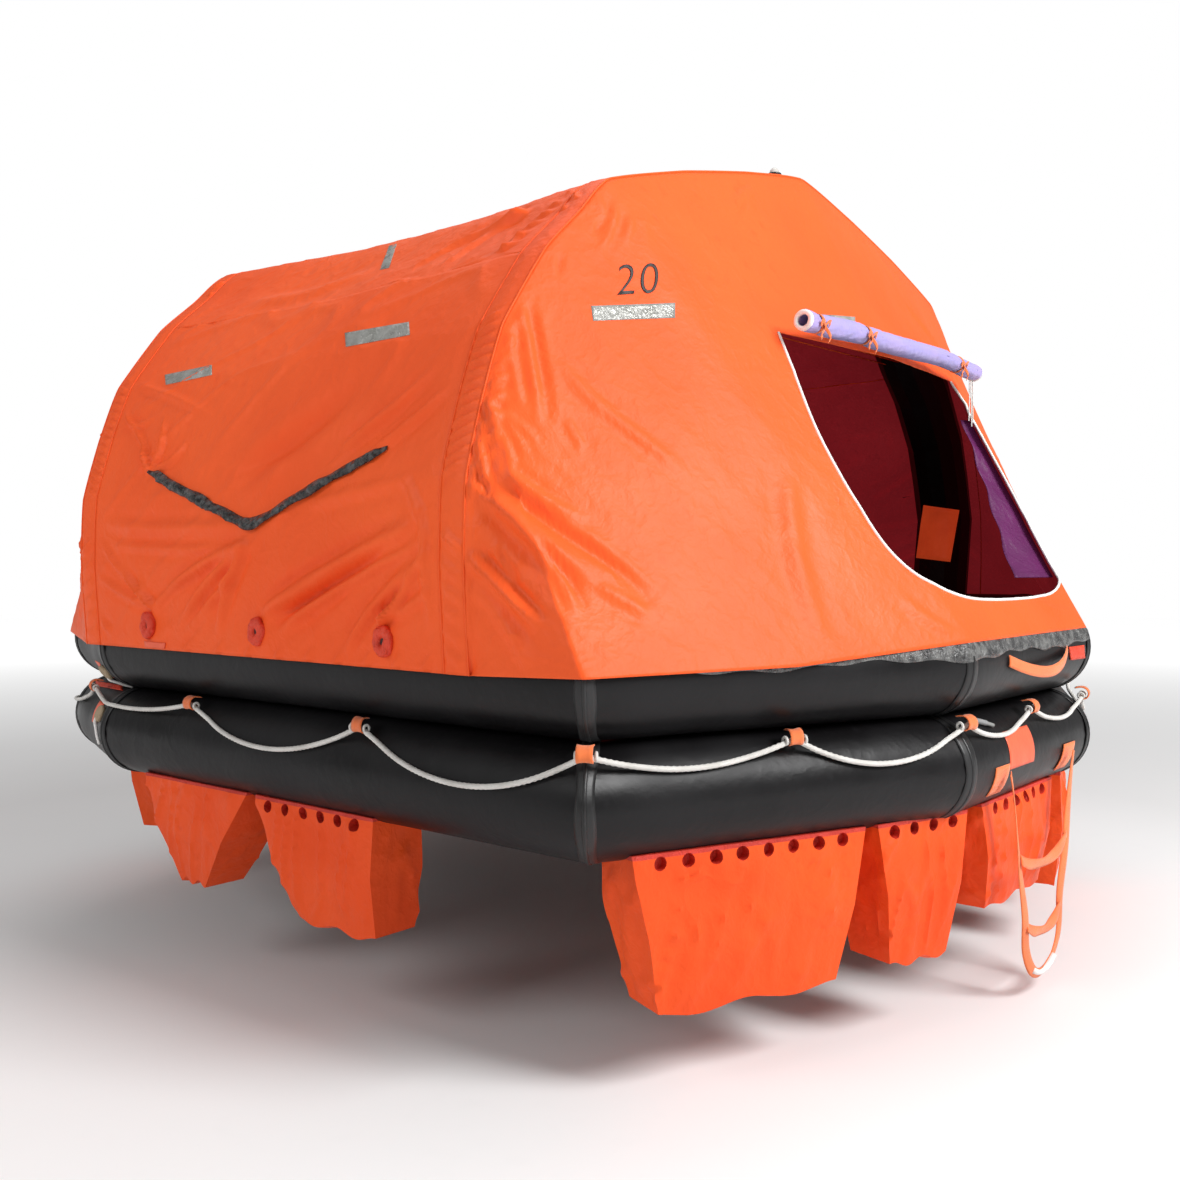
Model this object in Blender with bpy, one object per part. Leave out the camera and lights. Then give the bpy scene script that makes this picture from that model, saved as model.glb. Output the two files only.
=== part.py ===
"""Inflatable canopied life raft for twenty, two stacked buoyancy tubes under an arched tent.

Frame: +X points out of the open front entrance, +Y to port, +Z up, metres. The origin is in the
middle of the raft on the waterline, DRAFT above the underside of the lower tube.
"""
import math

import bmesh
import bpy
from mathutils import Matrix, Vector

# Driving dimensions, heights measured from the underside of the lower tube
TUBE_RADIUS = 0.1625
DRAFT = 0.05
GAP = 0.0003
TUBE_SIDES = 20
LOWER_TUBE_Z = TUBE_RADIUS
UPPER_TUBE_Z = 3 * TUBE_RADIUS + GAP
CREASE_Z = 2 * TUBE_RADIUS

# Corners of the tubes' centreline on the starboard side, from bow to stern: name, x, y
RING_CORNERS = (
    ("bow", 1.810, -0.520),
    ("bow_quarter", 1.344, -1.612),
    ("stern_quarter", -0.878, -1.612),
    ("stern_bend", -1.446, -1.398),
    ("stern", -1.810, -0.570),
)

FLOOR_THICKNESS = 0.05
FLOOR_UNDERSIDE = 0.045
FLOOR_EDGE_SHARE = 0.55

# Arch tubes and the canopy's outline over them, seen along X: half width y, height z
ARCH_FRONT_X = 0.940
ARCH_REAR_X = -0.850
ARCH_RADIUS = 0.130
ARCH_FOOT = (1.580, 0.630)
CANOPY_PROFILE = (
    (1.791, 0.495),
    (1.810, 0.790),
    (1.800, 1.035),
    (1.735, 1.260),
    (1.655, 1.468),
    (1.475, 1.714),
    (1.325, 1.850),
    (1.185, 1.980),
    (0.790, 2.100),
    (0.390, 2.195),
    (0.000, 2.265),
)
CANOPY_THICKNESS = 0.015
SLEEVE_HALF_WIDTH = 0.12
ROOF_SEAM_ROW = 5
ROOF_STEPS = 4
ARCH_INSET = CANOPY_THICKNESS + ARCH_RADIUS + 0.016

# How the canopy's lower edge runs round each end: ring corner or midpoint, outward offset, height,
# and the row of CANOPY_PROFILE that the cloth comes down from
FRONT_EDGE = (
    ("bow_quarter", 0.182, 0.510, 3),
    ("bow_quarter-bow", 0.180, 0.515, 5),
    ("bow", 0.150, 0.560, 8),
    ("bow_middle", 0.150, 0.560, 10),
)
REAR_EDGE = (
    ("stern_bend", 0.182, 0.510, 4),
    ("stern_bend-stern", 0.178, 0.520, 6),
    ("stern", 0.150, 0.560, 8),
    ("stern_middle", 0.150, 0.560, 10),
)
RULING_STEPS = 4
EDGE_SUBSTEPS = 3

# Entrance outline, seen along X: half width y, height z, from the top down to the middle
DOOR_OUTLINE = (
    (0.690, 1.545),
    (0.740, 1.200),
    (0.710, 0.920),
    (0.655, 0.795),
    (0.560, 0.730),
    (0.400, 0.692),
    (0.200, 0.680),
)
DOOR_REACH = 1.6
DOOR_LEAF_GAP = 0.002
DOOR_ROLL_RADIUS = 0.036
DOOR_ROLL_LENGTH = 1.40
DOOR_ROLL_STAND_OFF = 0.007

# Loose ends of the closure's ties, hung from the roll: name, y, length, lean along Y at the foot
DOOR_CORDS = (
    ("inner", 0.648, 0.172, -0.006),
    ("middle", 0.664, 0.192, 0.008),
    ("outer", 0.680, 0.176, 0.004),
)
DOOR_CORD_RADIUS = 0.0025
DOOR_CORD_STEPS = 14

# Ballast pockets on the starboard side: name, start and end as distances round the ring from the
# bow's middle, share of the length left at the foot, shift of the foot along the ring, depth
POCKETS = (
    ("bow_corner", 0.405, 0.815, 0.62, 0.00, 0.42),
    ("bow_quarter", 0.850, 1.640, 0.76, 0.00, 0.43),
    ("flank_fore", 2.480, 3.080, 0.62, -0.10, 0.36),
    ("flank_aft", 3.120, 3.760, 0.22, 0.04, 0.34),
    ("stern_quarter", 4.720, 5.320, 0.70, 0.00, 0.38),
)
MIDDLE_POCKET_HALF = 0.33
MIDDLE_POCKET_SHARE = 0.75
MIDDLE_POCKET_DEPTH = 0.34
POCKET_WIDTH = 0.20
POCKET_TOP = 0.030
POCKET_SWELL = 1.08
POCKET_FOOT = 0.72

# Fastenings of the outer lifeline: distance round the ring from the bow's middle, and how far the
# rope sags on its way to the next one
LIFELINE_FASTENINGS = (
    (0.0, 0.060),
    (0.520, 0.090),
    (1.110, 0.055),
    (1.707, 0.118),
    (2.540, 0.105),
    (3.390, 0.045),
    (4.180, 0.085),
    (4.860, 0.070),
    (5.440, 0.070),
)
LIFELINE_CLEAR = 0.005
FASTENING_DROP = 0.014
LIFELINE_REACH = 0.142
LIFELINE_RADIUS = 0.008
LIFELINE_STEPS = 8
LIFELINE_CORNER_ROOM = 0.03

LADDER_TOP_HALF = 0.300
LADDER_FOOT_HALF = 0.130
LADDER_TOP_Z = 0.115
LADDER_STEPS = (-0.160, -0.390, -0.560)
LADDER_REACH = 0.022
LADDER_PIVOT_RISE = 0.022
LADDER_STEP_SIZE = (0.012, 0.042)
LADDER_PATCH_SIZE = (0.016, 0.11, 0.09)
LADDER_PATCH_OUT = 0.004
LADDER_PATCH_DROP = 0.005
STRAP_THICKNESS = 0.004
STRAP_WIDTH = 0.040

# Black rain gutter on each flank, seen along Y: x, z of its ends and its low point
GUTTER_LINE = (
    (-0.560, 1.110),
    (-0.335, 1.035),
    (0.070, 0.900),
    (0.457, 1.035),
    (0.700, 1.120),
)
GUTTER_HEIGHT = 0.045
GUTTER_THICKNESS = 0.012
GUTTER_STAND_OFF = 0.006

# Handle strap over the upper tube at the entrance
HANDLE_HALF = 0.280
HANDLE_SAG = 0.050
HANDLE_STAND_OFF = 0.040
HANDLE_STEPS = 8

# Valves by the starboard stern corner: tube, height of its centreline, distance round the ring,
# angle up from level at which the valve stands on the skin
VALVES = (
    ("upper", UPPER_TUBE_Z, 4.010, -40.0),
    ("lower", LOWER_TUBE_Z, 3.990, 22.0),
)
VALVE_RADIUS = 0.036
VALVE_HEIGHT = 0.020
VALVE_STUB_SHARE = 0.36

CYLINDER_RADIUS = 0.070
CYLINDER_LENGTH = 0.800
CYLINDER_PLACE = (-1.150, 0.0, -0.032)
CYLINDER_END_SHARE = 0.97
CYLINDER_END_LAP = 0.007
CYLINDER_NECK = (0.018, 0.090)
CYLINDER_NECK_OUT = 0.025
CYLINDER_BAND_HALF = 0.240
RIGHTING_STRAP_WIDTH = 0.060
RIGHTING_STRAP_X = 0.450

LIGHT_RADIUS = 0.026
LIGHT_BASE_HEIGHT = 0.020


def clear_scene():
    """Start from nothing."""
    for old in list(bpy.data.objects):
        bpy.data.objects.remove(old, do_unlink=True)


def make_collection(name):
    """A collection linked to the scene."""
    collection = bpy.data.collections.new(name)
    bpy.context.scene.collection.children.link(collection)
    return collection


def make_material(name, colour, roughness, metallic=0.0):
    """A Principled material of one colour."""
    material = bpy.data.materials.new(name)
    material.use_nodes = True
    shader = material.node_tree.nodes["Principled BSDF"]
    shader.inputs["Base Color"].default_value = (*colour, 1.0)
    shader.inputs["Roughness"].default_value = roughness
    shader.inputs["Metallic"].default_value = metallic
    return material


clear_scene()
RAFT = make_collection("inflatable_raft")
CUTTERS = make_collection("cutters")
BLACK_RUBBER = make_material("black_rubber", (0.012, 0.011, 0.012), 0.38)
ORANGE_CLOTH = make_material("orange_cloth", (0.80, 0.13, 0.03), 0.55)
WEBBING = make_material("orange_webbing", (0.86, 0.24, 0.05), 0.75)
ROPE = make_material("white_rope", (0.82, 0.80, 0.76), 0.80)
DOOR_LINING = make_material("lavender_lining", (0.34, 0.27, 0.55), 0.60)
FLOOR_RUBBER = make_material("floor_rubber", (0.03, 0.03, 0.032), 0.55)
VALVE_PLASTIC = make_material("white_plastic", (0.80, 0.78, 0.72), 0.45)
STEEL = make_material("steel", (0.55, 0.55, 0.54), 0.35, 1.0)


def add_object(name, mesh, material, collection=RAFT):
    """A named object in a collection, with its material."""
    body = bpy.data.objects.new(name, mesh)
    collection.objects.link(body)
    if material is not None:
        mesh.materials.append(material)
    return body


def mesh_from(bm, name, smooth_angle=40.0):
    """Close a bmesh into a mesh in the raft's frame, faces outwards and smooth below an angle."""
    bmesh.ops.recalc_face_normals(bm, faces=bm.faces)
    bmesh.ops.translate(bm, verts=bm.verts, vec=(0, 0, -DRAFT))
    mesh = bpy.data.meshes.new(name)
    bm.to_mesh(mesh)
    bm.free()
    mesh.shade_smooth()
    mesh.set_sharp_from_angle(angle=math.radians(smooth_angle))
    return mesh


def set_booleans(body, operation, cutters):
    """EXACT Boolean modifiers with each cutter in turn."""
    for cutter in cutters:
        modifier = body.modifiers.new(operation.lower(), "BOOLEAN")
        modifier.operation = operation
        modifier.object = cutter
        modifier.solver = "EXACT"


def make_cutter(name, mesh):
    """A hidden object that others are cut with."""
    cutter = add_object(name, mesh, None, CUTTERS)
    cutter.hide_render = True
    cutter.display_type = "WIRE"
    return cutter


def ring_points():
    """Corners of the centreline round the whole raft, counter-clockwise from above."""
    starboard = [Vector((x, y)) for _, x, y in reversed(RING_CORNERS)]
    port = [Vector((p.x, -p.y)) for p in reversed(starboard)]
    return starboard + port


def corner(name):
    """Plan position of a named place on the starboard half of the centreline."""
    places = {row[0]: Vector(row[1:]) for row in RING_CORNERS}
    places["bow_middle"] = Vector((places["bow"].x, 0.0))
    places["stern_middle"] = Vector((places["stern"].x, 0.0))
    if name in places:
        return places[name]
    first, second = name.split("-")
    return (places[first] + places[second]) / 2


def leg_point(leg, fraction):
    """Plan position and outward direction at a fraction along a leg of the ring."""
    first, second = (corner(name) for name in leg.split("-"))
    along = (second - first).normalized()
    outward = Vector((along.y, -along.x))
    place = first.lerp(second, fraction)
    if outward.dot(place) < 0:
        outward.negate()
    return place, outward, along


def mitre(points, index):
    """Unit direction of the mitre at a corner of a closed outline, and how much it stretches."""
    here = points[index]
    before = (here - points[index - 1]).normalized()
    after = (points[(index + 1) % len(points)] - here).normalized()
    outward = Vector((before.y + after.y, -before.x - after.x)).normalized()
    stretch = 1.0 / outward.dot(Vector((before.y, -before.x)))
    return outward, stretch


def offset_corner(name, distance):
    """Plan position of a named corner moved outwards along its mitre."""
    points = ring_points()
    place = corner(name)
    for index, point in enumerate(points):
        if (point - place).length < GAP:
            outward, stretch = mitre(points, index)
            return place + outward * stretch * distance
    leg = {"bow_middle": "bow-bow_middle", "stern_middle": "stern-stern_middle"}.get(name, name)
    return place + leg_point(leg, 0.5)[1] * distance


def ring_mesh(name, height, radius):
    """A closed ring of straight tubes, mitred at the corners."""
    bm = bmesh.new()
    points = ring_points()
    rows = []
    for index, point in enumerate(points):
        outward, stretch = mitre(points, index)
        row = []
        for side in range(TUBE_SIDES):
            angle = 2 * math.pi * side / TUBE_SIDES
            reach = outward * stretch * radius * math.cos(angle)
            plan = point + reach
            row.append(bm.verts.new((plan.x, plan.y, height + radius * math.sin(angle))))
        rows.append(row)
    for row, following in zip(rows, rows[1:] + rows[:1]):
        for side in range(TUBE_SIDES):
            other = (side + 1) % TUBE_SIDES
            bm.faces.new((row[side], following[side], following[other], row[other]))
    return mesh_from(bm, name)


def prism_mesh(name, outline, low, high):
    """An upright prism between two heights over an outline in plan."""
    bm = bmesh.new()
    face = bm.faces.new([bm.verts.new((x, y, low)) for x, y in outline])
    top = bmesh.ops.extrude_face_region(bm, geom=[face])
    raised = [item for item in top["geom"] if isinstance(item, bmesh.types.BMVert)]
    bmesh.ops.translate(bm, verts=raised, vec=(0, 0, high - low))
    return mesh_from(bm, name)


def end_edge_x(side):
    """Where the sleeve over an arch ends along X and the end panel starts, by the sign of the end."""
    if side > 0:
        return ARCH_FRONT_X + SLEEVE_HALF_WIDTH
    return ARCH_REAR_X - SLEEVE_HALF_WIDTH


def door_mesh(name, shrink, reach):
    """The entrance's outline drawn out along X from near the middle to beyond one end."""
    top = DOOR_OUTLINE[0][1]
    outline = [(y - shrink, z - shrink if z == top else z + shrink / 2) for y, z in DOOR_OUTLINE]
    loop = outline + [(-y, z) for y, z in reversed(outline)]
    start = end_edge_x(reach)
    bm = bmesh.new()
    face = bm.faces.new([bm.verts.new((start, y, z)) for y, z in loop])
    drawn = bmesh.ops.extrude_face_region(bm, geom=[face])
    moved = [item for item in drawn["geom"] if isinstance(item, bmesh.types.BMVert)]
    bmesh.ops.translate(bm, verts=moved, vec=(reach, 0, 0))
    return mesh_from(bm, name)


def box_in(bm, size, centre, turn=None):
    """Add a box to a bmesh."""
    matrix = Matrix.Translation(centre)
    if turn is not None:
        matrix = matrix @ turn
    bmesh.ops.create_cube(bm, size=1.0, matrix=matrix @ Matrix.Diagonal((*size, 1.0)))


def cylinder_in(bm, radius, depth, centre, turn, segments=16):
    """Add a capped cylinder to a bmesh, along its own Z before the turn."""
    bmesh.ops.create_cone(
        bm,
        cap_ends=True,
        segments=segments,
        radius1=radius,
        radius2=radius,
        depth=depth,
        matrix=Matrix.Translation(centre) @ turn,
    )


def tube_curve(name, points, radius, resolution, cyclic=False):
    """A tube through points, in the raft's frame, as a mesh with welded caps."""
    curve = bpy.data.curves.new(name, "CURVE")
    curve.dimensions = "3D"
    curve.bevel_depth = radius
    curve.bevel_resolution = resolution
    curve.use_fill_caps = not cyclic
    spline = curve.splines.new("POLY")
    spline.points.add(len(points) - 1)
    for target, point in zip(spline.points, points):
        target.co = (point[0], point[1], point[2] - DRAFT, 1.0)
    spline.use_cyclic_u = cyclic
    guide = bpy.data.objects.new(name, curve)
    RAFT.objects.link(guide)
    view = bpy.context.evaluated_depsgraph_get()
    mesh = bpy.data.meshes.new_from_object(guide.evaluated_get(view))
    bpy.data.objects.remove(guide, do_unlink=True)
    bm = bmesh.new()
    bm.from_mesh(mesh)
    bmesh.ops.remove_doubles(bm, verts=bm.verts, dist=0.0001)
    bmesh.ops.recalc_face_normals(bm, faces=bm.faces)
    bm.to_mesh(mesh)
    bm.free()
    mesh.shade_smooth()
    return mesh


def profile_points():
    """The canopy's outline over an arch from starboard to port, as Y and Z."""
    starboard = [Vector((-y, z)) for y, z in CANOPY_PROFILE]
    port = [Vector((y, z)) for y, z in reversed(CANOPY_PROFILE[:-1])]
    return starboard + port


def inset_outline(points, distance):
    """An open outline moved to its right-hand side by a distance."""
    moved = []
    for index, point in enumerate(points):
        before = points[max(index - 1, 0)]
        after = points[min(index + 1, len(points) - 1)]
        along = (after - before).normalized()
        moved.append(point + Vector((along.y, -along.x)) * distance)
    return moved


def shell_mesh(name, rows, inner_rows=None, flat_start=False):
    """A sheet through rows of points, its inner skin given or one canopy thickness further in.

    With flat_start the cut edge along the first row stays square to X.
    """
    bm = bmesh.new()
    grid = [[bm.verts.new(point) for point in row] for row in rows]
    given = {}
    if inner_rows is not None:
        for row, inner_row in zip(grid, inner_rows):
            given.update(zip(row, inner_row))
    for row, following in zip(grid, grid[1:]):
        for index in range(len(row) - 1):
            bm.faces.new((row[index], row[index + 1], following[index + 1], following[index]))
    bmesh.ops.remove_doubles(bm, verts=bm.verts, dist=0.0005)
    for face in list(bm.faces):
        if face.calc_area() < 1e-7:
            bm.faces.remove(face)
    bmesh.ops.recalc_face_normals(bm, faces=bm.faces)
    middle = Vector((0, 0, 1.0))
    outward = sum((f.normal.dot(f.calc_center_median() - middle) * f.calc_area() for f in bm.faces))
    if outward < 0:
        bmesh.ops.reverse_faces(bm, faces=bm.faces)
    bm.normal_update()
    start = rows[0][0].x
    inner = {}
    for vert in list(bm.verts):
        inwards = vert.normal.copy()
        if flat_start and abs(vert.co.x - start) < GAP:
            inwards = Vector((0.0, inwards.y, inwards.z)).normalized()
        inner[vert] = bm.verts.new(given.get(vert, vert.co - inwards * CANOPY_THICKNESS))
    outer_faces = [face for face in bm.faces]
    rims = [edge for edge in bm.edges if edge.is_boundary]
    for face in outer_faces:
        bm.faces.new([inner[vert] for vert in reversed(face.verts)])
    for edge in rims:
        a, b = edge.verts
        bm.faces.new((a, b, inner[b], inner[a]))
    return mesh_from(bm, name)


def section_rows(stations, low_row, high_row):
    """Outer and inner skin over the arches' outline, from one row of it to another."""
    outer = profile_points()
    skins = []
    for outline in (outer, inset_outline(outer, CANOPY_THICKNESS)):
        points = outline[low_row:high_row + 1]
        points[0] = points[0] + (points[1] - points[0]).normalized() * GAP
        points[-1] = points[-1] + (points[-2] - points[-1]).normalized() * GAP
        skins.append([[Vector((x, y, z)) for y, z in points] for x in stations])
    return skins


def end_rows(edge_table, side):
    """Rulings from the arch's outline down to the tube round one end of the raft."""
    arch_x = end_edge_x(side) + side * GAP
    outline = [Vector((arch_x, -y, z)) for y, z in CANOPY_PROFILE]
    edge = [(outline[0].copy(), 0)]
    for name, offset, height, row in edge_table:
        plan = offset_corner(name, offset)
        edge.append((Vector((plan.x, plan.y, height)), row))
    rulings = []
    for (start, start_row), (end, end_row) in zip(edge, edge[1:]):
        for step in range(EDGE_SUBSTEPS):
            share = step / EDGE_SUBSTEPS
            height_row = start_row + (end_row - start_row) * share
            whole = min(int(height_row), len(outline) - 2)
            top = outline[whole].lerp(outline[whole + 1], height_row - whole)
            rulings.append((top, start.lerp(end, share)))
    rulings.append((outline[-1], edge[-1][0]))
    port = [(Vector((t.x, -t.y, t.z)), Vector((b.x, -b.y, b.z))) for t, b in reversed(rulings[:-1])]
    columns = rulings + port
    return [
        [top.lerp(bottom, step / RULING_STEPS) for top, bottom in columns]
        for step in range(RULING_STEPS + 1)
    ]


def build_tubes_and_floor(room):
    """The two buoyancy tubes and the floor laced inside the lower one."""
    for name, height in (("lower", LOWER_TUBE_Z), ("upper", UPPER_TUBE_Z)):
        mesh = ring_mesh(f"buoyancy_tube_{name}", height, TUBE_RADIUS)
        add_object(f"buoyancy_tube_{name}", mesh, BLACK_RUBBER)
    points = ring_points()
    outline = []
    for index, point in enumerate(points):
        outward, stretch = mitre(points, index)
        outline.append(point - outward * stretch * TUBE_RADIUS * FLOOR_EDGE_SHARE)
    floor = add_object(
        "floor_mattress",
        prism_mesh("floor_mattress", outline, FLOOR_UNDERSIDE, FLOOR_UNDERSIDE + FLOOR_THICKNESS),
        FLOOR_RUBBER,
    )
    set_booleans(floor, "DIFFERENCE", [room])


def build_arches(room):
    """The two black arch tubes that hold the canopy up, standing on the upper tube."""
    outline = inset_outline(profile_points(), ARCH_INSET)
    foot = Vector((-ARCH_FOOT[0], ARCH_FOOT[1]))
    above_foot = [point for point in outline if point.y > ARCH_FOOT[1] + 2 * ARCH_RADIUS]
    line = [foot] + above_foot + [Vector(ARCH_FOOT)]
    for name, x in (("front", ARCH_FRONT_X), ("rear", ARCH_REAR_X)):
        path = [Vector((x, y, z)) for y, z in line]
        mesh = tube_curve(f"arch_tube_{name}", path, ARCH_RADIUS, 4)
        arch = add_object(f"arch_tube_{name}", mesh, BLACK_RUBBER)
        set_booleans(arch, "DIFFERENCE", [room])


def build_canopy(room):
    """The canopy's panels: sleeves over the arches, roof, flanks, and the two ends."""
    last = len(profile_points()) - 1
    for name, x in (("front", ARCH_FRONT_X), ("rear", ARCH_REAR_X)):
        skins = section_rows((x - SLEEVE_HALF_WIDTH, x + SLEEVE_HALF_WIDTH), 0, last)
        sleeve = add_object(f"arch_sleeve_{name}", shell_mesh(f"arch_sleeve_{name}", *skins), ORANGE_CLOTH)
        set_booleans(sleeve, "DIFFERENCE", [room])
    rear = ARCH_REAR_X + SLEEVE_HALF_WIDTH + GAP
    front = ARCH_FRONT_X - SLEEVE_HALF_WIDTH - GAP
    stations = [rear + (front - rear) * step / ROOF_STEPS for step in range(ROOF_STEPS + 1)]
    for name, low, high in (
        ("flank_starboard", 0, ROOF_SEAM_ROW),
        ("roof", ROOF_SEAM_ROW, last - ROOF_SEAM_ROW),
        ("flank_port", last - ROOF_SEAM_ROW, last),
    ):
        mesh = shell_mesh(f"canopy_{name}", *section_rows(stations, low, high))
        add_object(f"canopy_{name}", mesh, ORANGE_CLOTH)
    for name, table, side in (("front", FRONT_EDGE, 1), ("rear", REAR_EDGE, -1)):
        door = make_cutter(f"door_{name}", door_mesh(f"door_{name}", 0.0, DOOR_REACH * side))
        mesh = shell_mesh(f"canopy_{name}", end_rows(table, side), flat_start=True)
        panel = add_object(f"canopy_{name}", mesh, ORANGE_CLOTH)
        set_booleans(panel, "DIFFERENCE", [room, door])
    leaf = make_cutter("door_leaf", door_mesh("door_leaf", DOOR_LEAF_GAP, -DOOR_REACH))
    mesh = shell_mesh("door_flap_rear", end_rows(REAR_EDGE, -1), flat_start=True)
    flap = add_object("door_flap_rear", mesh, ORANGE_CLOTH)
    set_booleans(flap, "INTERSECT", [leaf])


def half_ring_legs():
    """The starboard half of the centreline as points, from the bow's middle to the stern's."""
    names = ["bow_middle"] + [row[0] for row in RING_CORNERS] + ["stern_middle"]
    return [corner(name) for name in names]


def ring_place(distance, port=False):
    """Plan position and outward direction at a distance round the ring from the bow's middle."""
    points = half_ring_legs()
    for first, second in zip(points, points[1:]):
        length = (second - first).length
        if distance <= length + GAP or second is points[-1]:
            along = (second - first) / length
            place = first + along * distance
            outward = Vector((-along.y, along.x))
            break
        distance -= length
    if outward.dot(place) < 0:
        outward.negate()
    if port:
        return Vector((place.x, -place.y)), Vector((outward.x, -outward.y))
    return place, outward


def tube_reach(height, clear):
    """How far out from the lower tube's centreline a point at a height is clear of its skin."""
    drop = height - LOWER_TUBE_Z
    return max(math.sqrt((TUBE_RADIUS + clear) ** 2 - drop**2), LIFELINE_REACH)


def pocket_mesh(name, ends, share, shift, depth):
    """A ballast pocket: a tapered bag between two places of the ring, hung under the tube."""
    first, second = ends
    along = second - first
    length = along.length
    along.normalize()
    outward = Vector((along.y, -along.x))
    middle = (first + second) / 2
    if outward.dot(middle) < 0:
        outward.negate()
    levels = (
        (POCKET_TOP, 1.0, 0.0, 1.0),
        (-depth / 2, (1 + share) / 2, shift / 2, POCKET_SWELL),
        (-depth, share, shift, POCKET_FOOT),
    )
    bm = bmesh.new()
    rows = []
    for height, part, slide, swell in levels:
        row = []
        for u, v in ((-0.5, -0.5), (0.5, -0.5), (0.5, 0.5), (-0.5, 0.5)):
            plan = middle + along * (u * length * part + slide) + outward * (v * POCKET_WIDTH * swell)
            row.append(bm.verts.new((plan.x, plan.y, height)))
        rows.append(row)
    bm.faces.new(rows[0])
    bm.faces.new(list(reversed(rows[-1])))
    for row, following in zip(rows, rows[1:]):
        for index in range(4):
            other = (index + 1) % 4
            bm.faces.new((row[index], row[other], following[other], following[index]))
    return mesh_from(bm, name)


def build_pockets(room):
    """Ballast pockets round the underside, each side alike, and one under the entrance."""
    middle_ends = [ring_place(MIDDLE_POCKET_HALF, port=side)[0] for side in (False, True)]
    bags = [("ballast_pocket_bow_middle", middle_ends, MIDDLE_POCKET_SHARE, 0.0, MIDDLE_POCKET_DEPTH)]
    for name, start, end, share, shift, depth in POCKETS:
        for side, port in (("starboard", False), ("port", True)):
            ends = [ring_place(distance, port)[0] for distance in (start, end)]
            slide = -shift if port else shift
            if (ends[1] - ends[0]).x < 0 and port:
                slide = shift
            bags.append((f"ballast_pocket_{name}_{side}", ends, share, slide, depth))
    for name, ends, share, shift, depth in bags:
        bag = add_object(name, pocket_mesh(name, ends, share, shift, depth), ORANGE_CLOTH)
        set_booleans(bag, "DIFFERENCE", [room])


def corner_distances():
    """Distances round the ring from the bow's middle to each corner, and last to the stern's middle."""
    half = half_ring_legs()
    lengths = [(second - first).length for first, second in zip(half, half[1:])]
    return [sum(lengths[:count]) for count in range(1, len(lengths) + 1)]


def lifeline_points():
    """The grab line's route: hung from the crease between the tubes, sagging over the lower one."""
    *corners, stern_middle = corner_distances()
    fastenings = list(LIFELINE_FASTENINGS) + [(stern_middle, 0.0)]
    starboard = []
    for (start, sag), (end, _) in zip(fastenings, fastenings[1:]):
        stops = [start + (end - start) * step / LIFELINE_STEPS for step in range(LIFELINE_STEPS)]
        bends = [place for place in corners if start - GAP < place < end - GAP]
        stops = [stop for stop in stops if all(abs(stop - bend) > LIFELINE_CORNER_ROOM for bend in bends)]
        for distance in sorted(stops + bends):
            share = (distance - start) / (end - start)
            height = CREASE_Z - FASTENING_DROP - sag * 4 * share * (1 - share)
            place, outward = ring_place(distance)
            if any(abs(distance - bend) < GAP for bend in bends):
                outward = corner_outward(place)
            plan = place + outward * tube_reach(height, LIFELINE_RADIUS + LIFELINE_CLEAR)
            starboard.append(Vector((plan.x, plan.y, height)))
    place, outward = ring_place(stern_middle)
    height = CREASE_Z - FASTENING_DROP
    plan = place + outward * tube_reach(height, LIFELINE_RADIUS + LIFELINE_CLEAR)
    starboard.append(Vector((plan.x, plan.y, height)))
    port = [Vector((p.x, -p.y, p.z)) for p in reversed(starboard[1:-1])]
    return starboard + port


def corner_outward(place):
    """Mitre direction at a ring corner, stretched as the mitre is."""
    points = ring_points()
    index = min(range(len(points)), key=lambda i: (points[i] - place).length)
    outward, stretch = mitre(points, index)
    return outward * stretch


def build_lifeline():
    """The white grab line all round the raft."""
    mesh = tube_curve("lifeline", lifeline_points(), LIFELINE_RADIUS, 2, cyclic=True)
    add_object("lifeline", mesh, ROPE)


def move_origin(body, pivot):
    """Set an object's origin on its joint's axis, its shape staying where it is."""
    body.data.transform(Matrix.Translation(-pivot))
    body.location = pivot


def union_object(name, meshes, material):
    """One solid from overlapping closed meshes."""
    pieces = [make_cutter(f"{name}_piece_{index}", mesh) for index, mesh in enumerate(meshes[1:])]
    body = add_object(name, meshes[0], material)
    set_booleans(body, "UNION", pieces)
    return body


def box_mesh(name, size, centre, turn=None):
    """A box as a mesh."""
    bm = bmesh.new()
    box_in(bm, size, Vector(centre), turn)
    return mesh_from(bm, name)


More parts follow.
